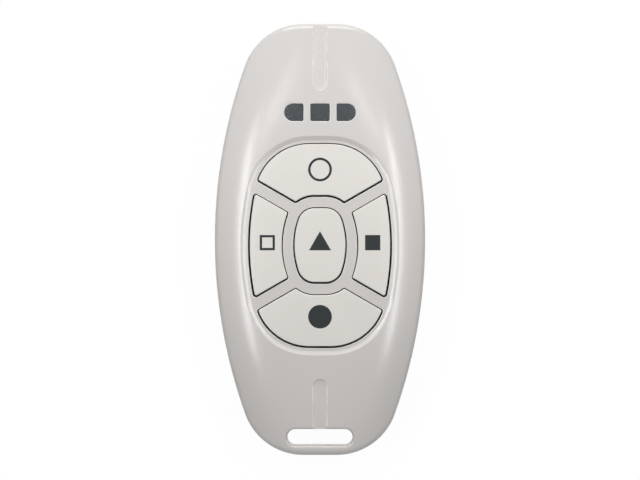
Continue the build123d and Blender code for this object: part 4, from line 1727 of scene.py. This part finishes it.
@dataclass
class CaseScrews:
    """Two pan-head screws with a cross recess, driven from the back, in millimetres.

    Attributes:
        places: Where they sit on the plan.
        seat: Height of the faces that their heads press on.
        head_diameter: Diameter of the head.
        head_height: Height of the head.
        head_flat: Share of the head's radius that its flat face keeps.
        head_rounding: How often the rounding of the head goes into its height.
        shank_diameter: Diameter over the thread.
        length: Length of the shank.
        tip_start: Share of the length at which the tip begins.
        tip_share: Share of the radius that is left at the end of the tip.
        thread_pitch: Distance between turns of the thread.
        thread_depth: Depth of the thread.
        thread_share: Share of the length that has a thread.
        thread_end: Share of the ridge's height that is left at its ends.
        recess_span: Length of each arm of the cross, end to end.
        recess_width: Width of an arm.
        recess_depth: Depth of the cross.
    """

    places: tuple[tuple[float, float], ...] = ((0.0, -28.7), (0.0, 31.0))
    seat: float = 5.4
    head_diameter: float = 4.0
    head_height: float = 1.1
    head_flat: float = 0.78
    head_rounding: float = 2.2
    shank_diameter: float = 2.2
    length: float = 4.8
    tip_start: float = 0.86
    tip_share: float = 0.45
    thread_pitch: float = 0.8
    thread_depth: float = 0.16
    thread_share: float = 0.84
    thread_end: float = 0.2
    recess_span: float = 2.4
    recess_width: float = 0.7
    recess_depth: float = 0.6

    def tree(self) -> PartTree:
        """Tree that makes one screw and sets it on every point.

        Returns:
            The tree.
        """
        sizes = {
            "Head Radius": self.head_diameter / 2 * MM,
            "Head Height": self.head_height * MM,
            "Core Radius": (self.shank_diameter / 2 - self.thread_depth) * MM,
            "Length": self.length * MM,
            "Thread Pitch": self.thread_pitch * MM,
            "Thread Depth": self.thread_depth * MM,
            "Recess Span": self.recess_span * MM,
            "Recess Width": self.recess_width * MM,
            "Recess Depth": self.recess_depth * MM,
            "Zinc": Palette.screw.material(),
        }
        tree = PartTree("case_screw", sizes)
        share = tree.add("GeometryNodeSplineParameter").outputs["Factor"]
        screw = tree.joined(self.head(tree, share), self.shank(tree, share), self.thread(tree, share))
        tree.close(tree.painted(tree.copied(screw), "Zinc"))
        return tree

    def head(self, tree: PartTree, share: bpy.types.NodeSocket) -> bpy.types.Node:
        """Pan head under its seat, with the cross cut into it.

        Args:
            tree: Tree of the screw.
            share: Share of the way along a curve.

        Returns:
            The node that makes it.
        """
        given = tree.given
        climb = tree.math("MINIMUM", tree.math("MULTIPLY", share, self.head_rounding), 1.0)
        rim = tree.math("SUBTRACT", 1.0, climb)
        dome = tree.math("SQRT", tree.math("SUBTRACT", 1.0, tree.math("MULTIPLY", rim, rim)))
        width = tree.math("MULTIPLY_ADD", dome, 1 - self.head_flat, self.head_flat)
        radius = tree.math("MULTIPLY", width, given["Head Radius"])
        pan = tree.turned(given["Head Height"], radius, rows=14, around=40)
        deep = tree.math("MULTIPLY", given["Recess Depth"], 2.0)
        span, breadth = given["Recess Span"], given["Recess Width"]
        arms = [
            tree.add("GeometryNodeMeshCube", {"Size": tree.vector(*plan, deep)})
            for plan in ((span, breadth), (breadth, span))
        ]
        cut = tree.add("GeometryNodeMeshBoolean", {"Mesh 1": pan, "Mesh 2": arms}, operation="DIFFERENCE")
        return tree.moved(cut, tree.vector(z=tree.math("MULTIPLY", given["Head Height"], -1.0)))

    def shank(self, tree: PartTree, share: bpy.types.NodeSocket) -> bpy.types.Node:
        """Core of the shank with its tapered tip.

        Args:
            tree: Tree of the screw.
            share: Share of the way along a curve.

        Returns:
            The node that makes it.
        """
        taper = tree.remap(share, self.tip_start, 1.0, 1.0, self.tip_share)
        radius = tree.math("MULTIPLY", taper, tree.given["Core Radius"])
        return tree.turned(tree.given["Length"], radius, rows=24, around=32)

    def thread(self, tree: PartTree, share: bpy.types.NodeSocket) -> bpy.types.Node:
        """Ridge that winds round the core and runs out at both ends.

        Args:
            tree: Tree of the screw.
            share: Share of the way along a curve.

        Returns:
            The node that makes it.
        """
        given = tree.given
        rise = tree.math("MULTIPLY", given["Length"], self.thread_share)
        inputs = {
            "Resolution": 28,
            "Rotations": tree.math("DIVIDE", rise, given["Thread Pitch"]),
            "Start Radius": given["Core Radius"],
            "End Radius": given["Core Radius"],
            "Height": rise,
        }
        spiral = tree.add("GeometryNodeCurveSpiral", inputs)
        inputs = {"Resolution": 4, "Radius": given["Thread Depth"]}
        ridge = tree.add("GeometryNodeCurvePrimitiveCircle", inputs)
        off_middle = tree.math("ABSOLUTE", tree.math("SUBTRACT", share, 0.5))
        return tree.swept(spiral, ridge, tree.remap(off_middle, 0.42, 0.5, 1.0, self.thread_end))

    def build(self, shop: Workshop) -> None:
        """Sets both screws."""
        points = [(x, y, self.seat) for x, y in self.places]
        shop.show("case_screws_piece", self.tree().grow(points), stands_for=["case_screws"])


@dataclass(frozen=True)
class Softbox:
    """Soft lamp over the table, which looks at its middle.

    Attributes:
        name: Its name.
        bearing: Angle on the plan in degrees, from the right-hand side of the picture towards its top.
        slant: Angle from straight overhead in degrees.
        size: Its width along the table and its height in metres.
        power: Its power in watts.
        distance: How far away it hangs, in metres.
    """

    name: str
    bearing: float
    slant: float
    size: tuple[float, float]
    power: float
    distance: float = 1.2

    def hang(self) -> None:
        """Hangs the lamp."""
        turn, lean = math.radians(self.bearing), math.radians(self.slant)
        away = Vector((math.cos(turn) * math.sin(lean), math.sin(turn) * math.sin(lean), math.cos(lean)))
        data = bpy.data.lights.new(self.name, "AREA")
        data.shape, data.size, data.size_y, data.energy = "RECTANGLE", *self.size, self.power
        lamp = placed(self.name, data)
        lamp.location = away * self.distance
        lamp.rotation_euler = (-away).to_track_quat("-Z", "Y").to_euler()
        lamp.visible_camera = False


@dataclass
class Studio:
    """Pale table, soft lamps and a camera straight over the keys, in metres.

    Attributes:
        lens: Focal length in millimetres.
        sensor: Width of the camera's sensor in millimetres.
        clip: Nearest and farthest distance that the camera sees.
        camera: Where the camera hangs.
        ambient: Strength of the light from all round.
        table_half: Half the width of the table.
        table_gap: Air between the remote and the table, which keeps their faces apart.
        table_shade: Linear colour of the table as the lamps light it.
        floor_light: Share of the table's own white that the camera sees, which leaves the shadow faint.
        floor_white: Strength of that white.
        softboxes: A low window beyond the top end, and strips that draw the bright line on each shoulder.
    """

    lens: float = 310.2
    sensor: float = 36.0
    clip: tuple[float, float] = (0.01, 50.0)
    camera: Point = (0.0, -0.00009, 1.008)
    ambient: float = 0.05
    table_half: float = 6.0
    table_gap: float = 0.00002
    table_shade: tuple[float, float, float, float] = (0.5, 0.5, 0.5, 1.0)
    floor_light: float = 0.9
    floor_white: float = 1.07
    softboxes: tuple[Softbox, ...] = (
        Softbox("window", 90.0, 70.0, (1.2, 0.6), 10.4),
        Softbox("strip_left", 180.0, 28.0, (0.9, 0.05), 4.5),
        Softbox("strip_right", 0.0, 28.5, (0.9, 0.05), 4.1),
        Softbox("corner_left", 120.0, 26.0, (0.3, 0.08), 0.6),
        Softbox("corner_right", 60.0, 26.0, (0.3, 0.08), 0.5),
    )

    def seen_directly(self, bench: NodeBench) -> bpy.types.NodeSocket:
        """Picks out the rays that see the white backdrop.

        Args:
            bench: Bench of the table or the world.

        Returns:
            1 for rays from the camera, a mirror or through glass.
        """
        path = bench.add("ShaderNodeLightPath").outputs
        mirrored = bench.math("MAXIMUM", path["Is Glossy Ray"], path["Is Transmission Ray"])
        return bench.math("MAXIMUM", path["Is Camera Ray"], mirrored)

    def lay_table(self) -> None:
        """Lays the table, which is not part of the object."""
        work = bmesh.new()
        bmesh.ops.create_grid(work, x_segments=8, y_segments=8, size=self.table_half)
        bmesh.ops.translate(work, verts=work.verts, vec=(0.0, 0.0, -self.table_gap))
        mesh = meshed(work, "table")
        material = bpy.data.materials.new("pale_table")
        material.use_nodes = True
        bench = NodeBench(material.node_tree)
        bench.tree.nodes.clear()
        matt = bench.add("ShaderNodeBsdfDiffuse", {"Color": self.table_shade})
        white = bench.add("ShaderNodeEmission", {"Color": WHITE, "Strength": self.floor_white})
        share = bench.math("MULTIPLY", self.seen_directly(bench), self.floor_light)
        mixed = bench.add("ShaderNodeMixShader", {0: share, 1: matt, 2: white})
        bench.add("ShaderNodeOutputMaterial", {"Surface": mixed})
        mesh.materials.append(material)
        placed("table", mesh)

    def light(self) -> None:
        """Sets the light from all round and hangs the lamps."""
        world = bpy.data.worlds.new("studio")
        world.use_nodes = True
        bench = NodeBench(world.node_tree)
        bench.tree.nodes.clear()
        dim, white = (
            bench.add("ShaderNodeBackground", {"Color": WHITE, "Strength": strength})
            for strength in (self.ambient, 1.0)
        )
        mixed = bench.add("ShaderNodeMixShader", {0: self.seen_directly(bench), 1: dim, 2: white})
        bench.add("ShaderNodeOutputWorld", {"Surface": mixed})
        bpy.context.scene.world = world
        for softbox in self.softboxes:
            softbox.hang()

    def aim(self) -> None:
        """Hangs the camera, which looks straight down with the window end at the top of the picture."""
        data = bpy.data.cameras.new("camera")
        data.lens, data.sensor_width = self.lens, self.sensor
        data.clip_start, data.clip_end = self.clip
        camera = placed("camera", data)
        camera.location = self.camera
        bpy.context.scene.camera = camera

    def build(self) -> None:
        """Sets up the whole studio."""
        self.lay_table()
        self.light()
        self.aim()
        bpy.context.scene.view_settings.view_transform = "Standard"


def main() -> None:
    """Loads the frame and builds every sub-assembly round it."""
    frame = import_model()
    shop = Workshop(frame)
    housing = Housing()
    face = housing.front_face()
    for assembly in (housing, Keypad(face), Indicator(face), Electronics(), Power(), CaseScrews()):
        log.info("building %s", type(assembly).__name__)
        assembly.build(shop)
    Studio().build()


if __name__ == "__main__":
    logging.basicConfig(level=logging.INFO, format="%(name)s: %(message)s")
    main()
